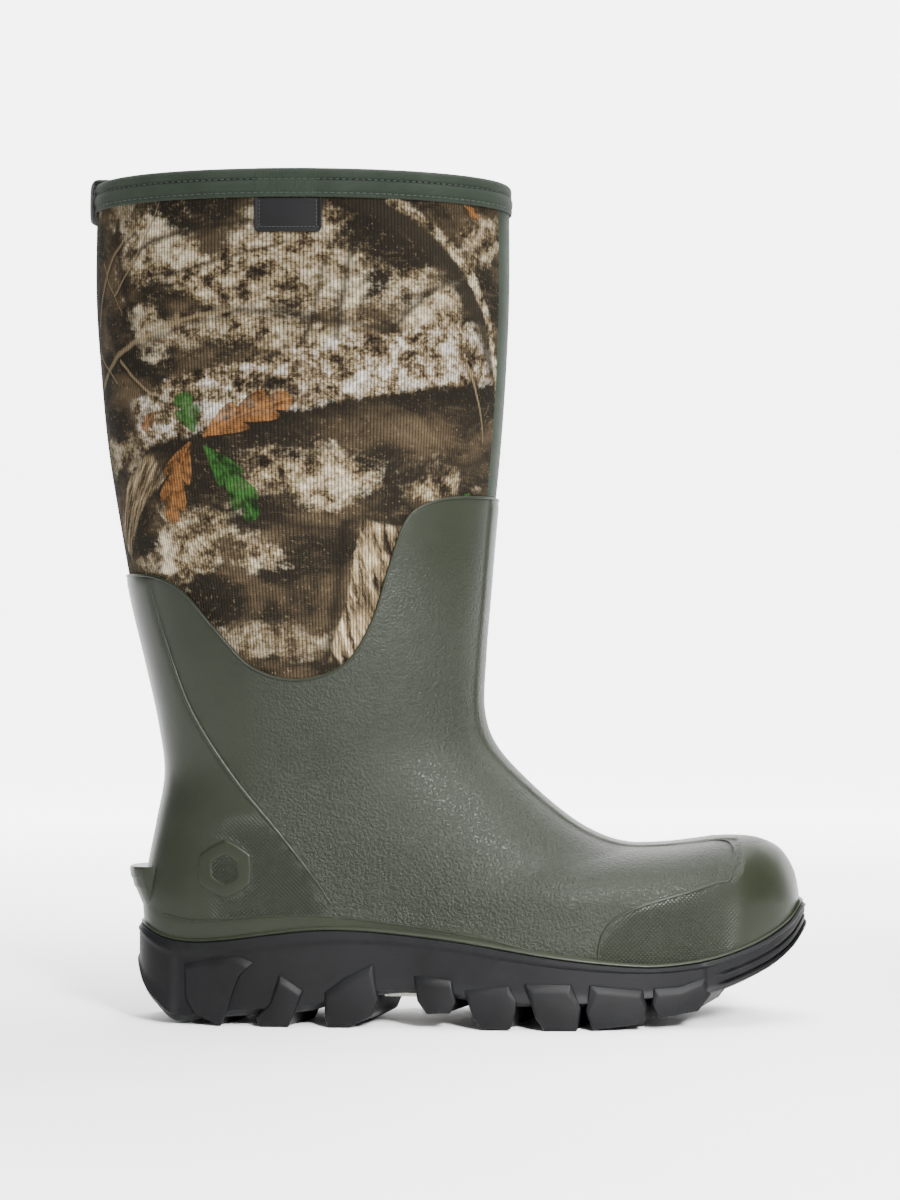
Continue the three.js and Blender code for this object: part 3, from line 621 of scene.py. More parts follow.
class Graph(Tree):
    """A material's node tree."""

    def __init__(self, name):
        self.material = bpy.data.materials.new(name)
        self.material.use_nodes = True
        super().__init__(self.material.node_tree)
        self.shader = self.nodes["Principled BSDF"]

    def bump(self, height, strength=1.0):
        """Feeds the shader's normal with a height in millimetres."""
        made = self.node("ShaderNodeBump", None, {"Strength": strength, "Distance": MM, "Height": height})
        self.feed(self.shader.inputs["Normal"], made.outputs[0])

    def finish(self, **inputs):
        for name, value in inputs.items():
            socket = self.shader.inputs[name.replace("_", " ")]
            value = (*value, 1) if socket.type == "RGBA" and isinstance(value, tuple) else value
            self.feed(socket, value)
        return self.material


def scaled_colour(colour, factor):
    return tuple(factor * channel for channel in colour)


# ---- sizes and colours that a user may change ---------------------------------------------------

def colour_property(name, description, default):
    return FloatVectorProperty(name=name, description=description, subtype="COLOR", size=3,
                               min=0, max=1, default=default)


def millimetres(name, description, default):
    return FloatProperty(name=name, description=description, default=default, min=0.05, soft_max=50,
                         precision=2)


class BootColours(PropertyGroup):
    rubber: colour_property("Rubber", "Moulded rubber of the foot", (0.0080, 0.0101, 0.0050))
    sole: colour_property("Sole", "Outsole rubber", (0.003, 0.003, 0.0034))
    tape: colour_property("Tape", "Collar tape and seam strips", (0.0135, 0.0195, 0.0125))
    thread: colour_property("Thread", "Stitching on the collar", (0.012, 0.018, 0.014))
    cloth_dark: colour_property("Cloth, dark", "Darkest brown of the print", (0.0095, 0.0078, 0.0052))
    cloth_brown: colour_property("Cloth, brown", "Middle brown of the print", (0.052, 0.037, 0.021))
    cloth_tan: colour_property("Cloth, tan", "Tan of the print", (0.165, 0.123, 0.068))
    cloth_cream: colour_property("Cloth, cream", "Lightest patches of the print", (0.46, 0.39, 0.27))
    leaf_green: colour_property("Green leaves", "Green printed leaves", (0.012, 0.044, 0.008))
    leaf_orange: colour_property("Dry leaves", "Orange printed leaves", (0.105, 0.046, 0.0145))
    lining: colour_property("Lining", "Lining and footbed cover", (0.035, 0.038, 0.034))


class BootSizes(PropertyGroup):
    rib_pitch: millimetres("Rib pitch", "Distance between the cloth's knitted ribs, mm", 1.42)
    grain_size: millimetres("Grain size", "Size of the rubber's pebble grain, mm", 1.3)
    knurl_pitch: millimetres("Knurl pitch", "Pitch of the diamond texture at heel and toe, mm", 1.9)
    ridge_radius: millimetres("Ridge radius", "Radius of the moulded lines on the rubber, mm", 0.75)
    panel_step: millimetres("Panel step", "How far the spine, heel and toe panels stand out, mm", 0.7)
    stitch_length: millimetres("Stitch length", "Length of a stitch, mm", 2.1)
    stitch_gap: millimetres("Stitch gap", "Gap between stitches, mm", 0.8)
    lug_bevel: millimetres("Lug bevel", "Rounding of the treads' edges, mm", 0.7)
    tread_gap: millimetres("Tread gap", "Gap between the treads along the sole's middle, mm", 5)
    round_facets: IntProperty(name="Facets round", description="Facets round the rubber foot",
                              default=176, min=32, max=256)


def colours():
    look = bpy.context.scene.boot_colours
    return {name: tuple(getattr(look, name)) for name in BootColours.__annotations__}


def sizes():
    return bpy.context.scene.boot_sizes


# ---- materials ----------------------------------------------------------------------------------

def once(make):
    """A material is made the first time that it is asked for."""
    made = {}

    def get(*arguments):
        if arguments not in made:
            made[arguments] = make(*arguments)
        return made[arguments]
    return get


@once
def green_rubber():
    graph = Graph("green_rubber")
    place, (x, _, z) = graph.object_place()
    base = colours()["rubber"]
    cloudy = graph.noise(place, 0.02, 3).step(0.3, 0.7)
    pitch = math.pi / sizes().knurl_pitch
    knurl = abs(((x + z) * pitch).math("SINE")).math("MINIMUM", abs(((x - z) * pitch).math("SINE")))
    knurl = knurl.step(0.0, 0.6)
    pebble = graph.noise(place, 1 / sizes().grain_size, 3, 0.6).step(0.34, 0.66)
    grain, knurled = graph.mark("grain"), graph.mark("knurl")
    colour = graph.mix(cloudy, scaled_colour(base, 0.88), scaled_colour(base, 1.12))
    # Painted shade: the hollows of the pebble grain and the grooves of the diamond knurl are darkened in
    # the colour
    hollow_shade = (1.0 - pebble) * grain * 0.42 + (1.0 - knurl) * knurled * 0.62
    colour = graph.mix(hollow_shade, colour, scaled_colour(base, 0.35))
    waves = graph.noise(place, 0.03, 2)
    graph.bump(pebble * (grain * 0.24 + 0.012) + knurl * knurled * 0.34 + waves * 0.5)
    shine = cloudy * 0.05 + grain * 0.04 + 0.37
    return graph.finish(Base_Color=colour, Roughness=shine, Specular_IOR_Level=0.2)


@once
def plain_rubber(name, shade):
    """Matte moulded rubber with a fine skin, for the sole and the patch."""
    graph = Graph(name)
    place, _ = graph.object_place()
    cloudy = graph.noise(place, 0.035, 4)
    skin = graph.noise(place, 2.2, 2)
    colour = graph.mix(cloudy.step(0.35, 0.7), scaled_colour(shade, 0.75), scaled_colour(shade, 1.35))
    graph.bump(skin * 0.05 + graph.noise(place, 0.35, 2) * 0.06)
    worn = cloudy.step(0.3, 0.75) * 0.12 + 0.5
    return graph.finish(Base_Color=colour, Roughness=worn, Specular_IOR_Level=0.13)


def ellipse_shape(u, v, mess, x, y, across, up, soft):
    """1 inside an ellipse whose edge is broken up by mess."""
    du, dv = (u - x) / across, (v - y) / up
    return (mess + 1.0 - (du * du + dv * dv) ** 0.5).step(-soft, soft)


def run_and_away(u, v, x, y, cosine, sine, length, bow):
    """The share of the way along a bowed line from x, y, and the distance from it."""
    du, dv = u - x, v - y
    run = (du * cosine + dv * sine) / length
    return run, dv * cosine - du * sine - run * (1.0 - run) * bow * 4


def stroke_shape(u, v, ragged, x, y, cosine, sine, length, bow, half, soft, rough, taper):
    """1 along a bowed stroke that thins towards its end."""
    run, away = run_and_away(u, v, x, y, cosine, sine, length, bow)
    edge = (1.0 - run * taper) * half + ragged * rough - abs(away)
    return edge.step(-soft, soft) * run.step(-0.02, 0.02) * run.step(1.02, 0.95)


def leaf_shape(u, v, ragged, x, y, cosine, sine, length, bow, width, lobes):
    """Masks of a lobed leaf from its stalk to its tip, of its veins and of its shadow."""
    run, away = run_and_away(u, v, x, y, cosine, sine, length, bow)
    away = away + ragged * 0.1
    inside = (run * (1.0 - run)).math("MAXIMUM", 0.0)
    swept = (run - abs(away) * 0.5 / width) * lobes * math.pi
    edge = inside ** 0.45 * (run * 0.55 + 0.75) * (abs(swept.math("SINE")) ** 0.55 * 0.66 + 0.34) * width
    mask = (edge - abs(away)).step(-0.25, 0.35) * inside.step(0.0, 0.01)
    side = abs(((run - abs(away) * 0.75 / width) * lobes * (2 * math.pi)).math("SINE")).step(0.16, 0.02)
    veins = abs(away).step(0.75, 0.25).math("MAXIMUM", side * 0.45) * mask
    shadow = (edge - abs(away + 1.6)).step(-2.2, 0.4) * inside.step(0.0, 0.03) * (1.0 - mask)
    return mask, veins, shadow


class Print:
    """The plain woodland pattern, drawn on the cloth's own u (from the rear strip forwards) and v (the
    height above the ground), both in millimetres. Each method lays one more thing on the pattern."""

    def __init__(self, graph):
        uv = graph.node("ShaderNodeUVMap", {"uv_map": "UVMap"}).outputs[0]
        _, (self.u, self.v, _) = graph.scaled(uv, (CLOTH_U, CLOTH_V, 1))
        self.graph, self.look = graph, colours()
        self.drift = (self.noise(0.05, 2, 0.5) - 0.5) * 22
        self.ragged = (self.noise(0.30, 4, 0.7, 5) - 0.5) * 9
        self.mess = (self.noise(0.055, 6, 0.68, 41, (0.8, 1.1)) - 0.5) * 4.2
        self.colour = None

    def noise(self, scale, detail, roughness, offset=0.0, stretch=(1.0, 1.0), distortion=0.0):
        place = self.graph.vector(self.u * stretch[0], self.v * stretch[1], offset)
        return self.graph.noise(place, scale, detail, roughness, distortion)

    def shade(self, name, factor):
        return scaled_colour(self.look[name], factor)

    def lay(self, mask, colour):
        self.colour = self.graph.mix(mask.math("ADD", 0.0, clamp=True), self.colour, colour)

    def patch(self, centre, radii, soft=0.3):
        """1 inside an ellipse with a ragged, soft edge."""
        return self.graph.call(ellipse_shape, self.u + self.drift, self.v, self.mess,
                               *centre, *radii, soft)

    @staticmethod
    def line(start, end):
        """The start, direction and length of a line, as the shapes above take them."""
        length = math.dist(start, end)
        return (*start, (end[0] - start[0]) / length, (end[1] - start[1]) / length, length)

    def stroke(self, start, end, width, bow=0.0, soft=0.3, rough=0.0, taper=0.5):
        return self.graph.call(stroke_shape, self.u, self.v + self.drift * 0.3, self.ragged,
                               *self.line(start, end), bow, width / 2, soft * width, rough, taper)

    def leaf(self, base, tip, width, tint, lobes, bow):
        mask, veins, shadow = self.graph.call(leaf_shape, self.u, self.v, self.ragged,
                                              *self.line(base, tip), bow, width, lobes)
        tones = self.graph.ramp(self.noise(0.22, 4, 0.65, 30), [
            (0.38, self.shade(tint, 0.2)), (0.49, self.shade(tint, 0.8)), (0.62, self.shade(tint, 1.5)),
        ])
        self.lay(shadow * 0.5, self.shade("cloth_dark", 0.6))
        self.lay(mask * 0.88, tones)
        self.lay(veins * 0.4, self.shade(tint, 1.9))

    def ground(self):
        """Shaded undergrowth: dark browns with drawn-out lighter streaks."""
        look = self.look
        blotches = self.noise(0.034, 5, 0.62, 0, (0.7, 1.2), 0.4)
        self.colour = self.graph.ramp(blotches, [
            (0.34, self.shade("cloth_dark", 0.7)), (0.46, look["cloth_dark"]),
            (0.54, self.shade("cloth_brown", 0.55)), (0.66, look["cloth_brown"]),
        ])
        streaks = self.noise(0.16, 4, 0.7, 11, (0.35, 1.4))
        self.lay(streaks.step(0.55, 0.72) * 0.5, self.shade("cloth_brown", 1.25))
        crumbs = self.noise(0.55, 4, 0.75, 17)
        self.lay(crumbs.step(0.58, 0.68) * 0.6, self.shade("cloth_tan", 0.75))
        self.lay(crumbs.step(0.42, 0.32) * 0.7, self.shade("cloth_dark", 0.5))

    def lichen(self, mask, light, dark_share):
        """Crusts and flecks from dark to light over a mask."""
        crusts = self.noise(0.15, 7, 0.74, 23)
        tones = self.noise(0.035, 2, 0.5, 27)
        crumbs = self.noise(0.75, 3, 0.6, 29)
        level = crusts + (tones - 0.5) * 0.45 + (crumbs - 0.5) * 0.18
        flecked = self.graph.ramp(level, [
            (dark_share - 0.12, self.shade("cloth_dark", 0.5)),
            (dark_share - 0.04, self.shade("cloth_brown", 0.7)),
            (dark_share + 0.03, self.shade("cloth_tan", 0.8)),
            (dark_share + 0.11, scaled_colour(light, 0.62)), (dark_share + 0.20, light),
        ])
        self.lay(mask, flecked)

    def furrowed_bark(self, mask, tilt):
        """Split bark: tan strands with dark cracks between them."""
        place = self.graph.vector(self.u + self.v * tilt + self.ragged * 0.35, self.v * 0.16)
        strands = self.graph.noise(place, 0.34, 5, 0.72)
        cracked = self.graph.ramp(strands, [
            (0.38, self.shade("cloth_dark", 0.6)), (0.46, self.look["cloth_brown"]),
            (0.55, self.look["cloth_tan"]), (0.68, self.shade("cloth_cream", 0.85)),
        ])
        self.lay(mask, cracked)

    def ribs(self):
        """The knit's ribs and courses: painted shade in the furrows between the ribs and between the
        loops, and their height.
        """
        pitch = sizes().rib_pitch
        rib = abs((self.u * (math.pi / pitch)).math("SINE"))
        course = abs((self.v * (math.pi / (0.75 * pitch)) + self.u * 0.4).math("SINE"))
        shaded_furrow = rib.step(0.85, 0.12)
        # Painted shade: the furrows between the ribs and the gaps between the courses' loops are darkened
        # in the colour
        self.lay(shaded_furrow * 0.66, self.shade("cloth_dark", 0.7))
        self.lay(course.step(0.45, 0.0) * (1.0 - shaded_furrow) * 0.3, self.look["cloth_dark"])
        self.graph.bump(rib * 0.30 + course * 0.07, 0.9)
        return shaded_furrow


# Light patches of bark and dry grass: centre u, v, radii and strength.
CREAM_PATCHES = (
    ((62, 350), (26, 15), 0.95), ((106, 338), (40, 22), 0.9), ((90, 312), (48, 11), 0.8),
    ((168, 322), (17, 14), 0.9), ((196, 356), (14, 13), 0.95), ((120, 246), (22, 11), 1.0),
    ((66, 216), (30, 14), 1.0), ((176, 244), (16, 8), 0.85), ((20, 258), (15, 9), 0.7),
    ((100, 172), (26, 7), 0.55), ((30, 372), (20, 7), 0.5),
)
# Blurred shadows of twigs: start, end, width, bow.
TWIG_SHADOWS = (
    ((44, 350), (100, 362), 2.4, 2), ((52, 338), (112, 352), 1.8, -2), ((72, 322), (150, 312), 3.6, 2),
    ((128, 300), (141, 372), 3.2, 2), ((112, 296), (124, 344), 2.6, -2), ((146, 306), (186, 340), 3.4, 4),
    ((30, 366), (44, 318), 5.0, -3), ((20, 232), (60, 262), 8.0, 4), ((84, 226), (150, 214), 5.0, 3),
    ((160, 250), (210, 258), 6.0, -2),
)
# Pale twigs and stems: start, end, width, bow.
PALE_TWIGS = (
    ((6, 318), (46, 362), 2.0, 5), ((4, 290), (92, 322), 2.8, 4), ((28, 330), (58, 372), 1.2, -3),
    ((16, 346), (34, 322), 1.0, 0), ((30, 300), (62, 280), 1.6, -1), ((2, 306), (26, 290), 1.4, 1),
    ((188, 300), (204, 262), 1.6, 2),
)
# Leaves: stalk, tip, width, tint, lobes, bow.
LEAVES = (
    ((72, 266), (67, 284), 11.0, "leaf_green", 2.0, 0.0),
    ((76, 264), (112, 281), 13.5, "leaf_orange", 3.0, 1.5),
    ((70, 262), (55, 226), 14.0, "leaf_orange", 3.0, -2.0),
    ((76, 260), (96, 226), 12.0, "leaf_green", 3.0, 2.0),
    ((52, 276), (44, 268), 6.5, "leaf_orange", 2.0, 0.0),
    ((196, 240), (184, 228), 9.0, "leaf_green", 2.0, 0.0),
    ((186, 372), (196, 366), 4.0, "leaf_orange", 2.0, 0.0),
)
LICHEN_GREY = (0.42, 0.39, 0.34)


@once
def printed_cloth():
    """Ribbed knit printed with a plain woodland pattern: undergrowth, bark, branches and leaves."""
    graph = Graph("printed_cloth")
    pattern = Print(graph)
    cream = pattern.look["cloth_cream"]
    pattern.ground()
    for centre, radii, strength in CREAM_PATCHES:
        pattern.lichen(pattern.patch(centre, radii) * strength, scaled_colour(cream, 0.85), 0.455)
    for start, end, width, bow in TWIG_SHADOWS:
        pattern.lay(pattern.stroke(start, end, width, bow, 0.6, 0.1) * 0.85,
                    pattern.shade("cloth_dark", 0.9))
    pattern.lay(pattern.stroke((50, 268), (214, 290), 26, 3, 0.35, 0.5) * 0.7,
                pattern.shade("cloth_dark", 0.55))
    log = pattern.stroke((40, 270), (216, 306), 25, 5, 0.06, 0.9, taper=-0.15)
    pattern.lichen(log, LICHEN_GREY, 0.49)
    pattern.furrowed_bark(pattern.stroke((152, 224), (136, 160), 27, 2, 0.03, 0.5, taper=0.0), 0.25)
    pattern.lay(pattern.stroke((132, 226), (122, 164), 6, 1, 0.5, 0.3) * 0.8,
                pattern.shade("cloth_dark", 0.5))
    pattern.furrowed_bark(pattern.stroke((8, 216), (52, 252), 17, 3, 0.08, 0.5, taper=0.2) * 0.75, -0.9)
    pattern.lay(pattern.stroke((136, 374), (210, 292), 11, 10, 0.35, 0.3, taper=0.3) * 0.85,
                pattern.shade("cloth_dark", 1.4))
    pattern.lichen(pattern.stroke((150, 372), (216, 286), 5, 12, 0.2, 0.6, taper=0.0) * 0.8, cream, 0.44)
    for start, end, width, bow in PALE_TWIGS:
        lower = [(u, v - width) for u, v in (start, end)]
        pattern.lay(pattern.stroke(*lower, width * 1.3, bow, 0.5) * 0.6, pattern.shade("cloth_dark", 0.6))
        pattern.lay(pattern.stroke(start, end, width, bow, 0.25) * 0.7, pattern.shade("cloth_tan", 0.8))
    for leaf in LEAVES:
        pattern.leaf(*leaf)
    shaded_furrow = pattern.ribs()
    return graph.finish(Base_Color=pattern.colour, Roughness=shaded_furrow * 0.06 + 0.86,
                        Specular_IOR_Level=0.06)


@once
def stretch_tape(name, tint, ribbed):
    """Smooth stretch tape; the ribbed kind has a coarse cross rib."""
    graph = Graph(name)
    place, (x, y, z) = graph.object_place()
    cloudy = graph.noise(place, 0.06, 3)
    weave = abs((z * 5.2).math("SINE")) * abs(((x + y) * 5.2).math("SINE"))
    ribs = abs((x * 3.9).math("SINE")) if ribbed else weave
    # The colour mixes a random cloudy tone with painted shade: darker in the hollows between the ribs
    # that the bump raises
    shade = cloudy.step(0.3, 0.7) * 0.5 + ribs * 0.5
    colour = graph.mix(shade, scaled_colour(tint, 0.72), scaled_colour(tint, 1.2))
    graph.bump(ribs * (0.16 if ribbed else 0.05) + graph.noise(place, 1.4, 2) * 0.06)
    graph.shader.inputs["Sheen Weight"].default_value = 0.05
    return graph.finish(Base_Color=colour, Roughness=shade * -0.1 + 0.8, Specular_IOR_Level=0.12)


@once
def knit(name, tint, pitch):
    """Plain jersey for the lining and the footbed's cover."""
    graph = Graph(name)
    place, (x, y, z) = graph.object_place()
    across = abs(((x + y) * (math.pi / pitch)).math("SINE"))
    along_loops = abs(((z + x * 0.5) * (math.pi / pitch)).math("SINE"))
    loop = across * along_loops
    # Painted shade: the colour is darker between the raised loops, with a random tone mixed in
    shade = loop * 0.7 + graph.noise(place, 0.08, 3) * 0.3
    colour = graph.mix(shade, scaled_colour(tint, 0.55), scaled_colour(tint, 1.4))
    graph.bump(loop * 0.18)
    graph.shader.inputs["Sheen Weight"].default_value = 0.2
    return graph.finish(Base_Color=colour, Roughness=shade * -0.08 + 0.92, Specular_IOR_Level=0.15)


@once
def open_foam(name, tint):
    graph = Graph(name)
    place, _ = graph.object_place()
    cells = graph.field("ShaderNodeTexVoronoi", None, {"Vector": place, "Scale": 1.6})
    # Painted shade: the colour is darker in the sunken middles of the foam's cells
    colour = graph.mix(cells.step(0.1, 0.6), scaled_colour(tint, 0.7), scaled_colour(tint, 1.25))
    graph.bump(cells * 0.12)
    return graph.finish(Base_Color=colour, Roughness=cells * 0.1 + 0.85)


@once
def pressed_board():
    graph = Graph("fibre_board")
    place, _ = graph.object_place()
    fibres = graph.noise(place, 0.9, 4, 0.7, 1.5)
    colour = graph.mix(fibres.step(0.35, 0.65), (0.20, 0.14, 0.08), (0.46, 0.37, 0.25))
    graph.bump(fibres * 0.1)
    return graph.finish(Base_Color=colour, Roughness=fibres * 0.1 + 0.82)


@once
def rolled_steel():
    graph = Graph("steel")
    _, (x, y, _) = graph.object_place()
    streaks = graph.noise(graph.vector(x * 0.05, y * 3.0), 1.0, 3)
    colour = graph.mix(streaks, (0.42, 0.42, 0.43), (0.62, 0.62, 0.64))
    return graph.finish(Base_Color=colour, Roughness=streaks * 0.2 + 0.28, Metallic=1.0)


@once
def sewing_thread():
    graph = Graph("thread")
    _, (x, y, z) = graph.object_place()
    twist = abs(((x + y + z) * 6.0).math("SINE"))
    tint = colours()["thread"]
    # Painted shade and highlight: the colour runs from dark between the thread's plies to light on them,
    # along its twist
    colour = graph.mix(twist, scaled_colour(tint, 0.7), scaled_colour(tint, 1.6))
    return graph.finish(Base_Color=colour, Roughness=twist * 0.1 + 0.68)


@once
def webbing(tint):
    graph = Graph("webbing")
    _, (x, y, z) = graph.object_place()
    weft = abs(((z + x) * 2.6).math("SINE"))
    warp = abs((y * 2.2).math("SINE"))
    # Painted shade: the colour is darker between the raised weft and warp
    shade = weft * warp
    colour = graph.mix(shade, scaled_colour(tint, 0.5), scaled_colour(tint, 1.5))
    graph.bump(shade * 0.3)
    return graph.finish(Base_Color=colour, Roughness=shade * -0.1 + 0.85)


@once
def pale_floor():
    graph = Graph("floor")
    place, (x, y, _) = graph.object_place()
    faint = graph.noise(place, 0.004, 2)
    colour = graph.mix(faint, (0.86, 0.86, 0.86), (0.88, 0.88, 0.88))
    # The lights fade with distance, so the floor and the backdrop glow more the farther they are.
    near = ((x * x * 0.35 + y * y) ** 0.5).step(70, 620) * 0.36
    far = ((x * x + y * y) ** 0.5).step(350, 2300) * 0.64
    glow = (near + far) * y.step(-1500, -500)
    light = graph.mix(glow, (0, 0, 0), (BACKDROP_GLOW, BACKDROP_GLOW, BACKDROP_GLOW))
    return graph.finish(Base_Color=colour, Roughness=faint * 0.05 + 0.75, Specular_IOR_Level=0.1,
                        Emission_Color=light, Emission_Strength=1.0)


# ---- moulded rubber -----------------------------------------------------------------------------

# The line at the front of the heel panel and the line behind the toe cap, as x, z in the side view.
HEEL_LINE = np.array([
    (-52.1, 54.8), (-61.1, 67.9), (-76.8, 87.8), (-97.1, 112.2), (-115.7, 141.3), (-127.7, 172.9),
    (-134.6, 196),
])
TOE_LINE = np.array([
    (66.5, 29.8), (67.6, 39.6), (73.1, 48.2), (85.9, 54.4), (108.9, 60.6), (126.8, 65.4),
    (132.4, 70.0), (133.0, 75.0),
])
# The smooth band over the sole, which runs out towards the toe: x and its height over the sole's edge.
FOXING = np.array([
    (-150, 11.5), (-120, 10), (-80, 8), (-35, 4.8), (0, 3.8), (25, 3.0), (45, 1.0), (60, 0),
])
SPINE_HALF = 13.0
ANKLE_PAD = (-99.8, 69.8)
ANKLE_PAD_RADIUS = 13.4


def rubber_marks(points):
    """How much pebble grain and diamond knurl each point of the rubber carries."""
    x, z = points[:, 0], points[:, 2]
    above_band = smooth_step(z - sole_line(x) - curve_at(FOXING, x), 0, 1.2)
    heel = smooth_step(curve_at(HEEL_LINE[:, ::-1], z) - x, 0, 2) * (z < HEEL_LINE[-1, 1])
    toe = smooth_step(x - curve_at(TOE_LINE[:, ::-1], z), 0, 2) * (z < 80)
    from_pad = np.hypot(x - ANKLE_PAD[0], z - ANKLE_PAD[1])
    off_pad = smooth_step(from_pad, ANKLE_PAD_RADIUS, ANKLE_PAD_RADIUS + 1)
    low_heel = smooth_step(z, 100, 80) * smooth_step(x, -114, -92) * off_pad
    low_toe = smooth_step(x, 140, 110) * smooth_step(z, 72, 62)
    mid_foot = smooth_step(z, 240, 130) * smooth_step(x, -118, -60)
    return {
        "knurl": np.clip(heel * low_heel + toe * low_toe, 0, 1) * above_band,
        "grain": np.clip((1 - heel) * (1 - toe) * mid_foot, 0, 1) * above_band,
    }


def raised(s, angle):
    """How far the spine, heel and toe panels stand out of the rubber's surface."""
    p = surface(s, angle)
    x, y, z = p[..., 0], p[..., 1], p[..., 2]
    spine = smooth_step(np.abs(y - plan_middle(x) * np.clip(along(5, s), 0, 1)), SPINE_HALF + 1.2,
                        SPINE_HALF - 0.6) * (np.cos(angle) > 0.5)
    toe = smooth_step(x - curve_at(TOE_LINE[:, ::-1], z), -0.6, 1.2)
    toe = np.where(z > TOE_LINE[-1, 1], smooth_step(x, 132.2, 134), toe)
    heel = smooth_step(curve_at(HEEL_LINE[:, ::-1], z) - x, -0.6, 1.2) * (np.cos(angle) < 0.6)
    top = smooth_step(s - edge_section(angle), 0.0, 0.12)
    panels = np.clip(np.maximum(np.maximum(spine, toe), heel), 0, 1) * sizes().panel_step * top
    band = smooth_step(z - sole_line(x) - curve_at(FOXING, x), 0.6, -0.6) * (x < FOXING[-1, 0])
    return np.maximum(panels, panels * 0.4 + band * 0.9 * sizes().panel_step)


def cast(tree, start, direction):
    """The first point of a mesh from start in a direction, and its normal towards start."""
    hit, normal, *_ = tree.ray_cast(Vector(start) * MM, Vector(direction))
    if hit is None:
        raise RuntimeError(f"nothing lies from {start} in direction {direction}")
    facing = -1 if normal.dot(Vector(direction)) > 0 else 1
    return np.array(hit) / MM, np.array(normal) * facing


def side_point(tree, x, z, side):
    """The point of a mesh seen at x, z from the outer (-1) or inner (1) side, and its normal."""
    return cast(tree, (x, side * 300, z), (0, -side, 0))


def side_path(tree, outline, side):
    return np.array([side_point(tree, x, z, side)[0] for x, z in smooth_path(outline)])


def mesh_tree(piece):
    built = bmesh.new()
    built.from_mesh(piece.data)
    tree = BVHTree.FromBMesh(built)
    built.free()
    return tree


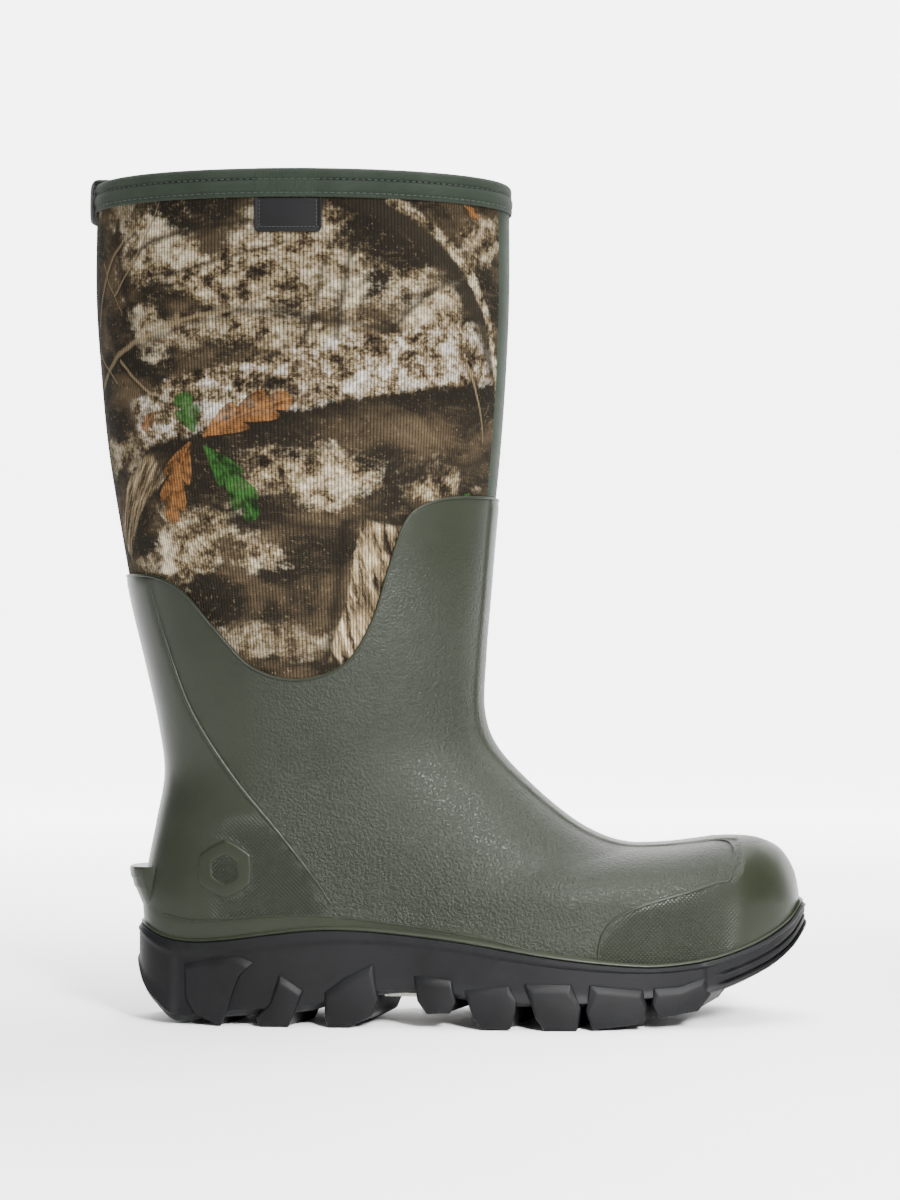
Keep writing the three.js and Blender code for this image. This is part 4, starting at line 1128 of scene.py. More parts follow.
class BOOT_OT_rubber_upper(Operator):
    """Build the moulded rubber foot with its panels, moulded lines, ankle pads and flange"""
    bl_idname = "boot.rubber_upper"
    bl_label = "Rubber Upper"

    def execute(self, context):
        columns, rows = sizes().round_facets, 250

        def section(u, v):
            top = edge_section(even_angles(u))
            return top + (LAST - top) * v

        def place(u, v):
            s, angle = section(u, v), even_angles(u)
            return surface(s, angle, -raised(s, angle))

        piece = grid_piece("rubber_upper", columns, rows, place,
                           marks=lambda u, v: rubber_marks(surface(section(u, v), even_angles(u))))
        tree = mesh_tree(piece)
        solidify(piece, RUBBER_GAUGE)
        bevel(piece, 0.45, 60)
        finish_piece(piece, green_rubber(), replaces=("rubber_upper",))
        self.moulded_lines(tree)
        self.ankle_pads(tree)
        self.flange()
        return {"FINISHED"}

    def moulded_lines(self, tree):
        radius = sizes().ridge_radius
        bars = []
        for side in (-1, 1):
            spine = self.spine_path(tree, side)
            bars.append(tube("moulded_line", spine, np.full(len(spine), radius * 0.8)))
            heel = side_path(tree, HEEL_LINE, side)
            share = np.linspace(0, 1, len(heel))
            bars.append(tube("moulded_line", heel, radius * (0.35 + 1.1 * np.sin(math.pi * share**0.8))))
            band = side_path(tree, self.foxing_line(), side)
            bars.append(tube("moulded_line", band, np.full(len(band), 0.4)))
        angle = even_angles(np.linspace(0, 1, 400, endpoint=False))
        rim = surface(edge_section(angle, 0.6), angle, -0.05)
        bars.append(tube("rim_bead", rim, np.full(len(rim), 0.6), True))
        lines = join_pieces("moulded_lines", bars)
        finish_piece(lines, green_rubber(), angle=60)

    def spine_path(self, tree, side):
        """Down the front beside the spine, round a corner over the toe and back along the toe cap."""
        s = np.linspace(float(edge_section(np.asarray(0.12))) + 0.05, 15.6, 60)
        foot = np.clip(along(5, s), 0, 1)
        half = along(4, s) * (1 - foot) + plan_half(along(0, s) - 2, 0) * foot
        angle = np.arcsin((SPINE_HALF / half) ** (along(6, s) / 2))
        spine = surface(s, on_side(angle, side), 0.1)
        end = spine[-1]
        corner = [(end[0] + 5, end[1] + side * 0.6), (end[0] + 8.5, end[1] + side * 3.5),
                  (end[0] + 10, end[1] + side * 8), (end[0] + 10.2, end[1] + side * 13)]
        over = [cast(tree, (x, y, 300), (0, 0, -1))[0] for x, y in corner]
        cap = side_path(tree, TOE_LINE[::-1][2:], side)
        return smooth_path(np.concatenate([spine, over, cap[::3]]))

    def foxing_line(self):
        x = np.linspace(-128, 36, 60)
        return np.c_[x, sole_line(x) + curve_at(FOXING, x)]

    def ankle_pads(self, tree):
        """A plain rounded hexagon with a dished, knurled middle, on both sides of the heel."""
        # Share of the way out from the pad's middle, and how far the pad stands out there.
        profile = np.array([
            (0, 0.1), (0.3, 0.1), (0.43, 0.12), (0.47, 0.3), (0.5, 0.75), (0.54, 0.95), (0.6, 1.0),
            (0.75, 1.0), (0.88, 0.98), (0.94, 0.85), (0.975, 0.5), (1.0, -0.4),
        ])
        pads = []
        for side in (-1, 1):
            def place(u, v):
                out, lift = profile[np.round(v * (len(profile) - 1)).astype(int)].T
                turn = 2 * math.pi * u
                corner = np.abs((turn + math.pi / 6) % (math.pi / 3) - math.pi / 6)
                reach = ANKLE_PAD_RADIUS * (0.7 / np.cos(corner) * math.cos(math.pi / 6) + 0.3) * out
                points = []
                for r, t, h in zip(reach, turn, lift):
                    x, z = ANKLE_PAD[0] + r * math.cos(t), ANKLE_PAD[1] + r * math.sin(t)
                    point, normal = side_point(tree, x, z, side)
                    points.append(point + normal * h * sizes().panel_step)
                return np.array(points)
            pad = grid_piece("ankle_pad", 96, len(profile) - 1, place,
                             marks=lambda u, v: {"knurl": (v < 0.32).astype(float), "grain": v * 0})
            outward_side(pad, (ANKLE_PAD[0], 0, ANKLE_PAD[1]))
            solidify(pad, 1.2)
            pads.append(pad)
        finish_piece(join_pieces("ankle_pads", pads), green_rubber(), angle=50)

    def flange(self):
        """The thin lip that the outsole is moulded against."""
        ring, outward = sole_perimeter(150)
        corners = np.array([(-1.4, 0.0), (1.8, 0.0), (2.4, 0.3), (2.4, 0.8), (1.9, 1.3), (0.6, 2.2),
                            (-0.6, 3.2), (-1.4, 3.2)])

        def place(u, v):
            k = np.round(u * len(ring)).astype(int) % len(ring)
            reach, lift = corners[np.round(v * len(corners)).astype(int) % len(corners)].T
            x, y = (ring[k, :2] + outward[k] * reach[:, None]).T
            return np.stack([x, y, sole_line(x) + lift], axis=-1)
        piece = grid_piece("rubber_flange", len(ring), len(corners), place)
        face_outwards(piece)
        apply_modifier(piece, "SUBSURF", levels=1, render_levels=1)
        finish_piece(piece, green_rubber(), angle=60)


class BOOT_OT_kick_tab(Operator):
    """Build the serrated ledge behind the heel"""
    bl_idname = "boot.kick_tab"
    bl_label = "Kick Tab"

    def execute(self, context):
        _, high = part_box("kick_tab")
        top, reach, half = high.z / MM, 9.0, high.y / MM
        # Down the outer face from the ledge: reach from the heel and drop below the ledge.
        steps = [(reach, 0), (reach - 0.1, 1.8), (reach - 1.0, 5.0), (reach - 1.6, 5.5),
                 (reach - 2.8, 9.0), (reach - 3.5, 9.6), (reach - 6.6, 15.4), (0.6, 19)]
        outline = [(-2.5, 0.0), *steps, (-2.5, 19.0)]
        heel = mesh_tree(bpy.data.objects["rubber_upper"])

        def heel_x(y, z):
            hit, *_ = heel.ray_cast(Vector((-0.3, y * MM, z * MM)), Vector((1, 0, 0)))
            return hit.x / MM

        rings = []
        for share in np.linspace(-1, 1, 25):
            y = half * share
            narrowed = 1 - 0.18 * abs(share) ** 6
            levels = [(out * narrowed, top - drop) for out, drop in outline]
            rings.append([(heel_x(y, z) - out, y, z) for out, z in levels])
        piece = lofted("kick_tab", rings, ("grain", "knurl"))
        bevel(piece, 0.5, 28)
        finish_piece(piece, green_rubber(), replaces=("kick_tab",))
        return {"FINISHED"}


# ---- outsole ------------------------------------------------------------------------------------

# Each tread in the side view, as x, z: the line along the top of its sloping facet, and the outline of
# its outer face clockwise from the facet's lower edge, which has as many points as the top line.
TREADS = (
    ([(-118, 27.5), (-104.6, 30.3), (-93, 31), (-87, 28.4)],
     [(-117.5, 25.1), (-104, 27.2), (-94, 27.8), (-89.5, 26.3),
      (-93.3, 22.6), (-96.4, 14.4), (-98.5, 6.8), (-101.5, 0.2), (-112.9, 5.2), (-117, 12.3)]),
    ([(-75.1, 23.5), (-63.9, 16.4)],
     [(-75.1, 19.5), (-66, 14), (-69, 4.3), (-71, 0), (-83.5, 0), (-85.1, 4.3), (-79, 10.3)]),
    ([(-55, 15.5), (-46, 22), (-33, 28.5)],
     [(-53.6, 13.2), (-44.5, 19), (-34.5, 25),
      (-31.2, 12.3), (-34, 5.2), (-43.8, 0), (-53.1, 0), (-54, 5)]),
    ([(-14.9, 23.5), (2, 22)], [(-14, 19.6), (1.5, 18.6), (3.5, 12), (1, 7.2), (-9, 6.6), (-13, 12.5)]),
    ([(6.9, 17.5), (27.3, 19.8)],
     [(9.5, 14.2), (26.5, 16.8), (30.2, 13), (29.9, 8.4), (27.5, 0.7), (15, 0.7), (12, 5)]),
    ([(33.5, 20.8), (54.5, 20.8)], [(37, 16.8), (52.8, 16.8), (58.4, 10), (56.6, 0), (42.7, 0), (39, 6)]),
    ([(62.5, 20.3), (74, 19), (86.5, 17.8)],
     [(66, 16.6), (75, 15.6), (84.8, 14.8), (87.5, 10), (86.5, 3), (64.5, 0.6), (61.6, 8)]),
    ([(91, 18.5), (103, 19), (115, 23)],
     [(93.5, 15.2), (103.5, 15.8), (113, 19.2), (116.8, 15), (111, 7.8), (93.8, 5), (91, 11)]),
)
TREAD_SLANT = 0.3  # how far a tread runs forwards for each millimetre inwards


class BOOT_OT_outsole(Operator):
    """Build the outsole: a smooth cupped sole with moulded treads down its sides and underneath"""
    bl_idname = "boot.outsole"
    bl_label = "Outsole"

    def execute(self, context):
        ring, outward = sole_perimeter(210)
        pieces = [self.cup(ring, outward)]
        for top, face in TREADS:
            for side in (-1, 1):
                pieces.append(self.tread(ring, top, face, side))
        sole = join_pieces("outsole", pieces)
        finish_piece(sole, plain_rubber("black_rubber", colours()["sole"]),
                     replaces=("outsole",))
        return {"FINISHED"}

    def cup(self, ring, outward):
        # Reach beyond the upper and share of the way from the sole's underside to its top edge, from
        # the middle of the top, over the rim, down the wall and under to the middle of the bottom.
        wall = np.linspace(0.97, 0.06, 30)
        levels = [(None, 0.72), (-6, 0.72), (-1.5, 0.9), (-0.6, 1.0), (1.9, 1.0), (2.4, 0.985)]
        levels += [(2.4 - 0.9 * smooth_step(share, 0.87, 0.81) * smooth_step(share, 0.0, 0.3), share)
                   for share in wall]
        levels += [(-0.2, 0.0), (-2.0, -0.03), (-9.0, -0.03), (None, -0.03)]

        def place(u, v):
            k = np.round(u * len(ring)).astype(int) % len(ring)
            row = np.round(v * (len(levels) - 1)).astype(int)
            reach = np.array([-1.0 if r is None else r for r, _ in levels])[row]
            share = np.array([share for _, share in levels])[row]
            x0 = ring[k, 0]
            heel_block = smooth_step(x0, -121, -123)
            toe_block = smooth_step(x0, 112.5, 114.5)
            side = smooth_step(share, 1.0, 0.82) * (row >= 5)
            reach = reach + side * (heel_block * 1.6 + toe_block * 1.5)
            for middle in (0.22, 0.52):
                groove = np.exp(-(((share - middle) / 0.035) ** 2))
                reach = reach - 1.5 * groove * smooth_step(x0, 118, 124) * (row >= 5)
            x, y = (ring[k, :2] + outward[k] * reach[:, None]).T
            middle_row = (row == 0) | (row == len(levels) - 1)
            x = np.where(middle_row, ring[k, 0], x)
            y = np.where(middle_row, plan_middle(ring[k, 0]), y)
            base = curve_at(SOLE_BASE, x)
            return np.stack([x, y, base + (sole_line(x) - 0.1 - base) * share], axis=-1)
        piece = grid_piece("cup", len(ring), len(levels) - 1, place)
        face_outwards(piece)
        return piece

    def tread(self, ring, top, face, side):
        """A faceted block: a sloping top facet, an outer face and a foot that runs in underneath."""
        half_ring = ring[ring[:, 1] < plan_middle(ring[:, 0]) + 0.01]
        order = np.argsort(half_ring[:, 0])

        def wall_y(x, reach):
            half = plan_middle(x) - np.interp(x, half_ring[order, 0], half_ring[order, 1])
            return plan_middle(x) + side * (half + reach)

        face = np.array(face)
        foot = face + (face - face.mean(axis=0)) * (0.05, 0.0)
        body = np.concatenate([top, foot[len(top):]])
        plate = curve_at(SOLE_BASE, face[:, 0]).max() + 3
        inner_y = sizes().tread_gap / 2
        shift = TREAD_SLANT * (abs(float(wall_y(face[:, 0].mean(), 0))) - inner_y)
        inner = np.c_[body[:, 0] + shift, np.minimum(body[:, 1], plate)]
        stations = [[(x, wall_y(x, reach), z) for x, z in outline]
                    for outline, reach in ((face, 3.4), (body, 2.1), (body, -3))]
        stations.append([(x, plan_middle(x) + side * inner_y, z) for x, z in inner])
        piece = lofted("tread", stations)
        bevel(piece, sizes().lug_bevel, 15)
        return piece


# ---- cloth, seam strips and the bootie ----------------------------------------------------------

CLOTH_WIDTH = 214  # the pattern's width from the rear strip to the front strip
CLOTH_U, CLOTH_V = 300, 400  # millimetres that one unit of the cloth's UV map stands for
STRIP_HALF_FRONT = 14.0
STRIP_HALF_REAR = 6.5
STRIP_GAP = 0.4
LAYERS_TOP = 0.03  # of a section: the cloth, foam and lining end inside the folded binding


def strip_angle(s, half_width, at_back):
    """The angle on the outer side at which the surface is half_width from the boot's middle plane."""
    n = along(7 if at_back else 6, s)
    away = np.arcsin(np.clip(half_width / along(4, s), 0, 1) ** (n / 2))
    return math.pi - away if at_back else away


def across_angle(s, offset, at_back):
    """The angle at which the surface is offset from the boot's middle plane, to the inner side where
    offset is more than 0."""
    angle = strip_angle(s, np.abs(offset), at_back)
    return np.where(offset > 0, 2 * math.pi - angle, angle)


def cloth_piece(name, start, end, side):
    """Cloth between two angles of each section, from the collar to below the rubber's edge."""
    def at(u, v):
        middle = np.full_like(u, 4.0)
        angle = start(middle) * (1 - u) + end(middle) * u
        bottom = edge_section(angle, CLOTH_UNDER_RUBBER)
        s = LAYERS_TOP + (bottom - LAYERS_TOP) * v
        return s, start(s) * (1 - u) + end(s) * u

    def place(u, v):
        s, angle = at(u, v)
        return surface(s, on_side(angle, side), CLOTH_DEPTH)

    def uv_of(u, v):
        z = place(u, v)[:, 2]
        return (u if side < 0 else 1 - u) * CLOTH_WIDTH / CLOTH_U, z / CLOTH_V
    piece = grid_piece(name, 110, 120, place, uv_of)
    outward_side(piece, (SHAFT_MIDDLE, 0, 250))
    solidify(piece, CLOTH_GAUGE)
    return piece


def flat_size(panel, start, end):
    """Width, length and area, in metres, of the flat cloth of a side panel: its longest row, its height
    and the area of one of its faces."""
    area = sum(face.area for face in panel.data.polygons) / 2
    heights = [v.co.z for v in panel.data.vertices]
    widths = []
    for s in (0.1, 1.0, 2.0, 3.0, 4.0):
        angle = np.linspace(float(start(s)), float(end(s)), 200)
        row = surface(np.full(200, s), angle, CLOTH_DEPTH)
        widths.append(np.linalg.norm(np.diff(row, axis=0), axis=1).sum())
    return max(widths) * MM, max(heights) - min(heights), area


class BOOT_OT_cloth(Operator):
    """Build the printed cloth on both sides of the shaft and the strips that join it"""
    bl_idname = "boot.cloth"
    bl_label = "Cloth"

    def execute(self, context):
        def start(s):
            return strip_angle(s, STRIP_HALF_REAR + STRIP_GAP, True)

        def end(s):
            return strip_angle(s, STRIP_HALF_FRONT + STRIP_GAP, False)

        for side, name in ((-1, "outer_cloth_panel"), (1, "inner_cloth_panel")):
            panel = cloth_piece(name, start, end, side)
            finish_piece(panel, printed_cloth(), replaces=(name,))
            width, length, area = flat_size(panel, start, end)
        tint = colours()["tape"]
        for name, half, at_back, shade in (
            ("front_seam_strip", STRIP_HALF_FRONT, False, 1.0),
            ("rear_seam_strip", STRIP_HALF_REAR, True, 0.45),
        ):
            strip = self.strip(name, half, at_back)
            finish_piece(strip, stretch_tape(name, scaled_colour(tint, shade), False),
                         replaces=(name,))
        return {"FINISHED"}

    def strip(self, name, half, at_back):
        """A strip across the boot's middle plane, slightly crowned, with rolled edges."""
        def place(u, v):
            offset = (2 * u - 1) * half
            centre = math.pi if at_back else 0.0
            bottom = edge_section(np.full_like(u, centre), CLOTH_UNDER_RUBBER)
            s = LAYERS_TOP + (bottom - LAYERS_TOP) * v
            angle = across_angle(s, offset, at_back)
            crown = 0.7 * (1 - np.abs(2 * u - 1) ** 8)
            return surface(s, angle, CLOTH_DEPTH + 0.35 - crown)
        piece = grid_piece(name, 24, 90, place)
        outward_side(piece, (SHAFT_MIDDLE, 0, 300))
        solidify(piece, 0.9)
        return piece


def closed_wall(name, outer, gauge, first, last, columns, rows):
    """One layer of the bootie: a tube, or the foot of a sock where last is the toe."""
    def place(u, v):
        return surface(first + (last - first) * v, even_angles(u), outer)
    piece = grid_piece(name, columns, rows, place, lambda u, v: (u, v))
    outward_side(piece, (SHAFT_MIDDLE, 0, (surface(first, 0.0)[2] + surface(last, 0.0)[2]) / 2))
    solidify(piece, gauge)
    return piece


class BOOT_OT_bootie(Operator):
    """Build the neoprene bootie and its knitted lining, each as a shaft and a foot"""
    bl_idname = "boot.bootie"
    bl_label = "Bootie and Lining"

    def execute(self, context):
        for name, last, first, columns, rows in (
            ("shaft_insulation", SLEEVE_END - SLEEVE_GAP, LAYERS_TOP, 96, 60),
            ("foot_insulation", LAST, SLEEVE_END, 96, 90),
        ):
            foam = closed_wall(name, FOAM_DEPTH, FOAM_GAUGE, first, last, columns, rows)
            finish_piece(foam, open_foam("neoprene", (0.03, 0.03, 0.03)), replaces=(name,))
        for name, last, first, columns, rows in (
            ("shaft_lining", SLEEVE_END - SLEEVE_GAP, LAYERS_TOP, 128, 90),
            ("foot_lining", LAST, SLEEVE_END, 128, 130),
        ):
            lining = closed_wall(name, LINING_DEPTH, LINING_GAUGE, first, last, columns, rows)
            finish_piece(lining, knit("lining_cloth", colours()["lining"], 1.3),
                         replaces=(name,))
        return {"FINISHED"}


class BOOT_OT_footbed(Operator):
    """Build the contoured footbed and its cloth cover"""
    bl_idname = "boot.footbed"
    bl_label = "Footbed"

    def execute(self, context):
        low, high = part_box("footbed")
        first, last = low.x / MM + 0.4, high.x / MM - 0.6
        bed = self.slab("footbed", first, last, 2.2, 5.0, 11.6)
        finish_piece(bed, open_foam("footbed_foam", (0.05, 0.05, 0.055)),
                     body="footbed", replaces=("footbed",))
        cover = self.slab("footbed_cover", first + 0.6, last - 0.6, 7.3, 0.9, 12.0)
        finish_piece(cover, knit("footbed_cloth", colours()["lining"], 1.1),
                     body="footbed", replaces=("footbed_cover",))
        return {"FINISHED"}

    def slab(self, name, first, last, lift, thickness, depth):
        """A rounded slab whose cross-sections run from the heel to the toe over the lining's floor."""
        floor_depth = LINING_DEPTH + LINING_GAUGE

        def floor(x):
            s = bisect(lambda k: line_end(1, k, floor_depth)[0] < x, np.full(x.shape, 11.5),
                       np.full(x.shape, float(LAST)))
            return line_end(1, s, floor_depth)[1]

        def place(u, v):
            share = 0.5 - 0.5 * np.cos(math.pi * v)
            x = first + (last - first) * share
            heel = np.clip((x - first) / 30, 0, 1)
            toe = np.clip((last - x) / 22, 0, 1)
            ends = (1 - (1 - heel) ** 2.3) ** (1 / 2.3) * (1 - (1 - toe) ** 2.2) ** (1 / 2.2)
            half = plan_half(x, depth) * 0.93 * ends
            turn = 2 * math.pi * u
            across, up = signed_power(np.cos(turn), 0.35), signed_power(np.sin(turn), 0.35)
            y = plan_middle(x) + across * half
            cupped = 2.2 * np.abs(across) ** 3 * smooth_step(x, 20, -60)
            z = floor(x) + lift + thickness / 2 * (1 + up * np.minimum(1, ends * 2)) + cupped
            return np.stack([x, y, z], axis=-1)
        piece = grid_piece(name, 24, 70, place)
        face_outwards(piece)
        return piece


# ---- collar -------------------------------------------------------------------------------------

# Depth and height of the folded binding round the rim, as a closed loop, and of the band below it.
BINDING_LOOP = (
    (10.5, 374.0), (10.6, 378.0), (10.5, 382.6), (9.8, 385.2), (7.6, 386.0), (3.2, 386.0), (0.9, 385.5),
    (-0.1, 384.0), (-0.2, 382.2), (0.2, 380.9), (0.7, 380.5), (1.2, 380.9), (1.3, 384.0), (2.0, 384.9),
    (8.6, 384.9), (9.4, 384.0), (9.5, 374.0),
)
BAND_LOOP = (
    (0.7, 380.3), (0.1, 380.0), (-0.5, 378.6), (-0.6, 377.0), (-0.4, 375.4), (0.15, 374.4), (0.2, 374.0),
    (-0.15, 373.5), (-0.2, 372.8), (0.1, 372.1), (0.8, 372.0), (1.2, 373.0), (1.2, 379.0),
)
SPLICE = (-86.5, -58.5)  # x where the ends of the tape are joined
PATCH = (-87.0, -56.6, 371.6, 356.2)  # x from and to, top and bottom
TAB_HALF = 7.2
TAB_INSIDE = (-160.0, 0, 376)  # a point inside the tab's fold


def collar_point(depth, z, angle):
    """A point beside the collar at a height, depth inside the boot's outside."""
    p = surface(np.clip((RIM - z) / FIRST_SECTION, 0, 2), angle, depth)
    p[..., 2] = z
    return p


def collar_loop(name, loop):
    """A profile of depths and heights carried round the rim."""
    loop = np.array(loop)

    def place(u, v):
        depth, z = loop[np.round(v * len(loop)).astype(int) % len(loop)].T
        return collar_point(depth, z, even_angles(u))
    return grid_piece(name, 120, len(loop), place)


def sewn(name, places, length, width):
    thread = copies(stitch_prototype(length, width), places)
    thread.name = thread.data.name = name
    finish_piece(thread, sewing_thread(), angle=60)


class BOOT_OT_collar(Operator):
    """Build the folded binding, the band below it, their stitching and the joined ends of the tape"""
    bl_idname = "boot.collar"
    bl_label = "Collar"

    def execute(self, context):
        tape = stretch_tape("collar_tape", colours()["tape"], False)
        for name, loop in (("collar_binding", BINDING_LOOP), ("collar_band", BAND_LOOP)):
            ring = collar_loop(name, loop)
            face_outwards(ring)
            apply_modifier(ring, "SUBSURF", levels=2, render_levels=2)
            finish_piece(ring, tape, angle=60, replaces=(name,))
        self.stitching()
        self.splice()
        return {"FINISHED"}

    def stitching(self):
        angle = even_angles(np.linspace(0, 1, 721))
        places = []
        for z, depth in ((380.35, 0.15), (374.0, -0.1)):
            path = collar_point(np.full(angle.shape, depth), np.full(angle.shape, z), angle)
            outward = path - collar_point(np.full(angle.shape, depth + 2), np.full(angle.shape, z), angle)
            places += stitches_along(path, outward, sizes().stitch_length, sizes().stitch_gap)
        sewn("collar_stitching", places, sizes().stitch_length, 0.55)

    def splice(self):
        """The overlapped ends of the tape: a short ribbed cover over both bands."""
        start, end = [angle_at(x) for x in SPLICE]
        profile = [(depth - 0.3, z) for depth, z in BINDING_LOOP[4:11]]
        profile += [(depth - 0.25, z) for depth, z in BAND_LOOP[1:10]]
        profile = np.array(profile)

        def place(u, v):
            depth, z = profile[np.round(v * (len(profile) - 1)).astype(int)].T
            return collar_point(depth, z, start + (end - start) * u)
        piece = grid_piece("collar_splice", 28, len(profile) - 1, place)
        outward_side(piece, (SHAFT_MIDDLE, 0, 380))
        solidify(piece, 0.5)
        apply_modifier(piece, "SUBSURF", levels=1, render_levels=1)
        finish_piece(piece, stretch_tape("ribbed_tape", colours()["tape"], True), angle=60)


class BOOT_OT_label(Operator):
    """Build the plain rubber patch under the band, with a sewn border"""
    bl_idname = "boot.label"
    bl_label = "Label Patch"

    def execute(self, context):
        left, right, top, bottom = PATCH
        radius = 2.2

        def place(u, v):
            x = left + (right - left) * u
            edge = np.clip(radius - np.minimum(x - left, right - x), 0, radius)
            low = bottom + radius - np.sqrt(np.clip(radius**2 - edge**2, 0, None))
            z = top + (low - top) * v
            s = (RIM - z) / FIRST_SECTION
            angle = np.array([angle_at(value, level) for value, level in zip(x, s)])
            rim = np.minimum(np.minimum(x - left, right - x), z - bottom)
            swell = 0.35 * smooth_step(rim, 1.6, 0.7)
            return collar_point(0.25 - swell, z, angle)
        patch = grid_piece("label_patch", 60, 32, place)
        outward_side(patch, (SHAFT_MIDDLE, 0, 365))
        solidify(patch, 1.0)
        bevel(patch, 0.3, 50)
        finish_piece(patch, plain_rubber("patch_rubber", (0.004, 0.004, 0.0045)),
                     replaces=("label_patch",))
        self.border(left + 2.3, right - 2.3, top, bottom + 2.3)
        return {"FINISHED"}

    def border(self, left, right, top, bottom):
        corners = [(left, top - 0.5), (left, bottom + 1), (left + 1, bottom),
                   (right - 1, bottom), (right, bottom + 1), (right, top - 0.5)]
        x, z = smooth_path(corners, 0.6).T
        angle = np.array([angle_at(value, (RIM - level) / FIRST_SECTION) for value, level in zip(x, z)])
        path = collar_point(np.full(x.shape, 0.2), z, angle)
        outward = path - collar_point(np.full(x.shape, 2.2), z, angle)
        sewn("label_stitching", stitches_along(path, outward, 1.3, 0.5), 1.3, 0.4)


class BOOT_OT_pull_tab(Operator):
    """Build the webbing tab folded over the rim at the back"""
    bl_idname = "boot.pull_tab"
    bl_label = "Rear Pull Tab"

    def execute(self, context):
        over = [(-0.9, 369.0), (-1.2, 373.0), (-1.3, 378.0), (-1.2, 383.0), (-0.8, 385.6), (0.6, 386.9),
                (3.5, 387.1), (7.6, 387.1), (10.4, 386.6), (11.3, 385.0), (11.4, 381.0), (11.3, 375.0),
                (11.2, 369.0)]
        route = smooth_path(over, 1.0)

        def place(u, v):
            depth, z = route[np.round(v * (len(route) - 1)).astype(int)].T
            offset = (2 * u - 1) * TAB_HALF
            return collar_point(depth, z, across_angle(np.zeros_like(u), offset, True))
        tab = grid_piece("rear_pull_tab", 16, len(route) - 1, place)
        outward_side(tab, TAB_INSIDE)
        solidify(tab, 1.0, 1)
        bevel(tab, 0.3, 50)
        finish_piece(tab, webbing((0.035, 0.04, 0.035)), replaces=("rear_pull_tab",))
        return {"FINISHED"}


class BOOT_OT_structure(Operator):
    """Give the hidden stiffeners, midsole, shank and insole board their materials"""
    bl_idname = "boot.structure"
    bl_label = "Hidden Structure"

    def execute(self, context):
        finishes = {
            "midsole": open_foam("midsole_foam", (0.6, 0.58, 0.52)),
            "shank": rolled_steel(),
            "insole_board": pressed_board(),
            "heel_counter": pressed_board(),
            "toe_puff": pressed_board(),
        }
        for name, material in finishes.items():
            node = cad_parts[name]
            node.data.materials.clear()
            node.data.materials.append(material)
        return {"FINISHED"}


# ---- stage --------------------------------------------------------------------------------------

BACKDROP_GLOW = 4.2
SWEEP_WIDTH = 12000
SWEEP_LENGTH = 10500
SWEEP_START = -2500  # y of the floor's front edge
FLOOR_END = 2500  # y where the floor starts to curve up
FLOOR_BEND = 1400  # the radius of that curve
# Disk lights: name, place, size, power and the point that they are aimed at.
LIGHTS = (
    ("overhead", (0.3, 0.1, 2.2), 2.2, 130, (0, 0, 0)),
    ("key", (0.55, -1.25, 1.05), 0.6, 36, (0.06, 0, 0.03)),
    ("fill", (-1.2, -1.6, 1.0), 1.2, 3, (0, 0, 0.25)),
)
CAMERA_PLACE = (0.0012, -1.154, 0.138)
CAMERA_PITCH = 2.7  # degrees above the level
LENS = 74.6


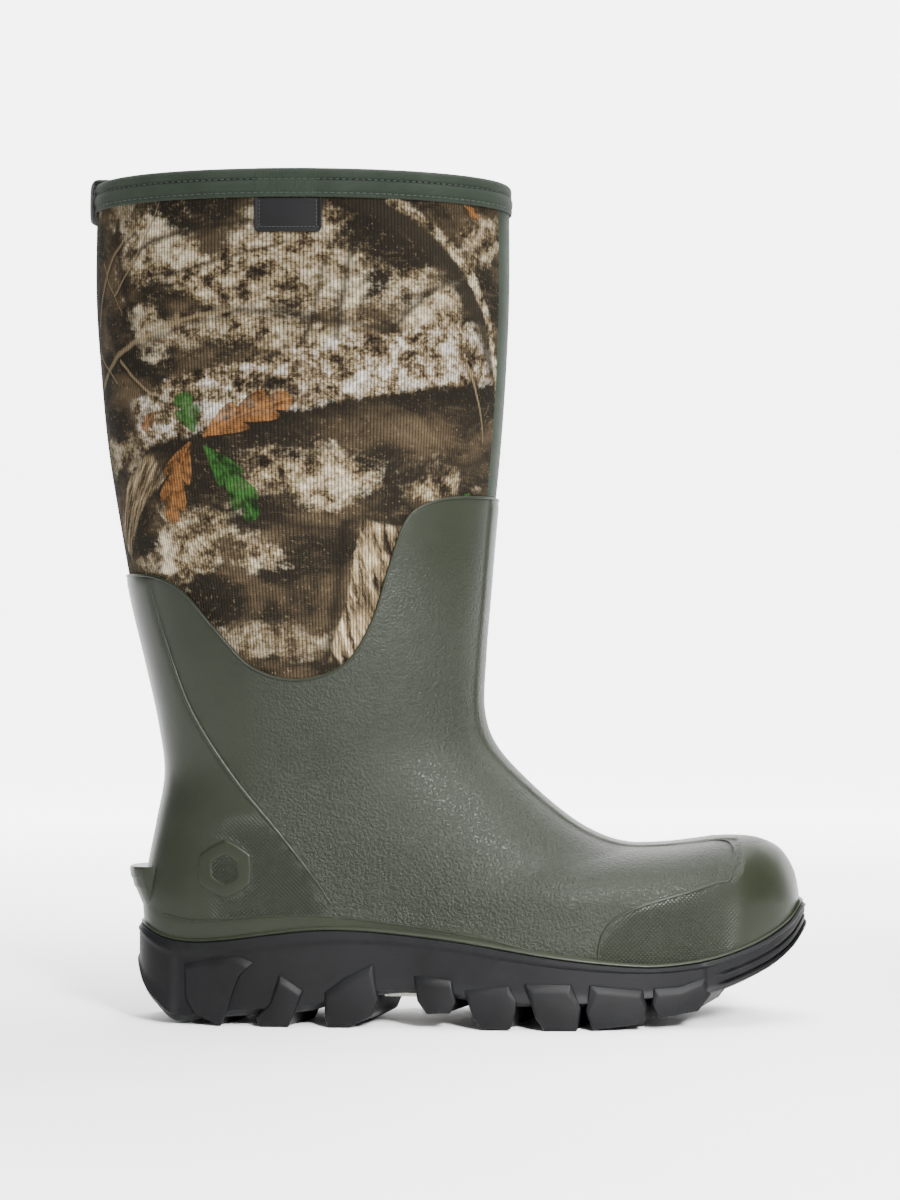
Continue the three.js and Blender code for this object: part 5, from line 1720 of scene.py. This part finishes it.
class BOOT_OT_stage(Operator):
    """Set up the pale floor, the soft lights and the camera"""
    bl_idname = "boot.stage"
    bl_label = "Stage"

    def execute(self, context):
        self.sweep()
        self.lights()
        self.world()
        self.camera()
        return {"FINISHED"}

    def sweep(self):
        """A floor that curves up into a backdrop far behind the boot."""
        def place(u, v):
            run = v * SWEEP_LENGTH + SWEEP_START
            bend = np.clip(run - FLOOR_END, 0, None)
            turn = np.clip(bend / FLOOR_BEND, 0, math.pi / 2)
            y = np.minimum(run, FLOOR_END) + FLOOR_BEND * np.sin(turn)
            rise = FLOOR_BEND * (1 - np.cos(turn)) + np.clip(bend - FLOOR_BEND * math.pi / 2, 0, None)
            return np.stack([(u - 0.5) * SWEEP_WIDTH, y, rise], axis=-1)
        floor = grid_piece("floor", 2, 60, place)
        make_active(floor)
        bpy.ops.object.shade_smooth()
        floor.data.materials.clear()
        floor.data.materials.append(pale_floor())

    def light(self, kind, name, place, power, aim):
        bpy.ops.object.light_add(type=kind, location=place)
        light = bpy.context.active_object
        light.name = name
        light.data.energy = power
        light.rotation_euler = (Vector(aim) - Vector(place)).to_track_quat("-Z", "Y").to_euler()
        return light.data

    def lights(self):
        for name, place, size, power, aim in LIGHTS:
            disk = self.light("AREA", name, place, power, aim)
            disk.shape = "DISK"
            disk.size = size
        spot = self.light("SPOT", "foot_spot", (0.5, -1.25, 0.75), 620, (0.045, 0, 0.07))
        spot.shadow_soft_size = 0.2
        spot.spot_size = math.radians(17)
        spot.spot_blend = 1

    def world(self):
        world = bpy.data.worlds.new("studio")
        world.use_nodes = True
        background = world.node_tree.nodes["Background"]
        background.inputs["Color"].default_value = (0.97, 0.98, 1.0, 1)
        background.inputs["Strength"].default_value = 0.2
        bpy.context.scene.world = world

    def camera(self):
        bpy.ops.object.camera_add(location=CAMERA_PLACE, rotation=(math.radians(90 + CAMERA_PITCH), 0, 0))
        camera = bpy.context.active_object
        camera.data.lens = LENS
        camera.data.sensor_width = 36
        camera.data.clip_start, camera.data.clip_end = 0.05, 50
        bpy.context.scene.camera = camera


# ---- the add-on ---------------------------------------------------------------------------------

OPERATORS = (
    BOOT_OT_stage, BOOT_OT_rubber_upper, BOOT_OT_kick_tab, BOOT_OT_outsole, BOOT_OT_cloth,
    BOOT_OT_bootie, BOOT_OT_footbed, BOOT_OT_collar, BOOT_OT_label, BOOT_OT_pull_tab, BOOT_OT_structure,
)


class BOOT_PT_panel(Panel):
    """Lists the boot's colours, sizes and pieces"""
    bl_idname = "BOOT_PT_panel"
    bl_label = "Hunting Boot"
    bl_space_type = "VIEW_3D"
    bl_region_type = "UI"
    bl_category = "Boot"

    def draw(self, context):
        for group in (context.scene.boot_colours, context.scene.boot_sizes):
            box = self.layout.box()
            for name in type(group).__annotations__:
                box.prop(group, name)
        for operator in OPERATORS:
            self.layout.operator(operator.bl_idname)


CLASSES = (BootColours, BootSizes, *OPERATORS, BOOT_PT_panel)


def register():
    for one in CLASSES:
        bpy.utils.register_class(one)
    bpy.types.Scene.boot_colours = PointerProperty(type=BootColours)
    bpy.types.Scene.boot_sizes = PointerProperty(type=BootSizes)


def unregister():
    del bpy.types.Scene.boot_sizes
    del bpy.types.Scene.boot_colours
    for one in reversed(CLASSES):
        bpy.utils.unregister_class(one)


def main():
    register()
    for operator in OPERATORS:
        getattr(bpy.ops.boot, operator.bl_idname.split(".")[1])()


if __name__ == "__main__":
    main()
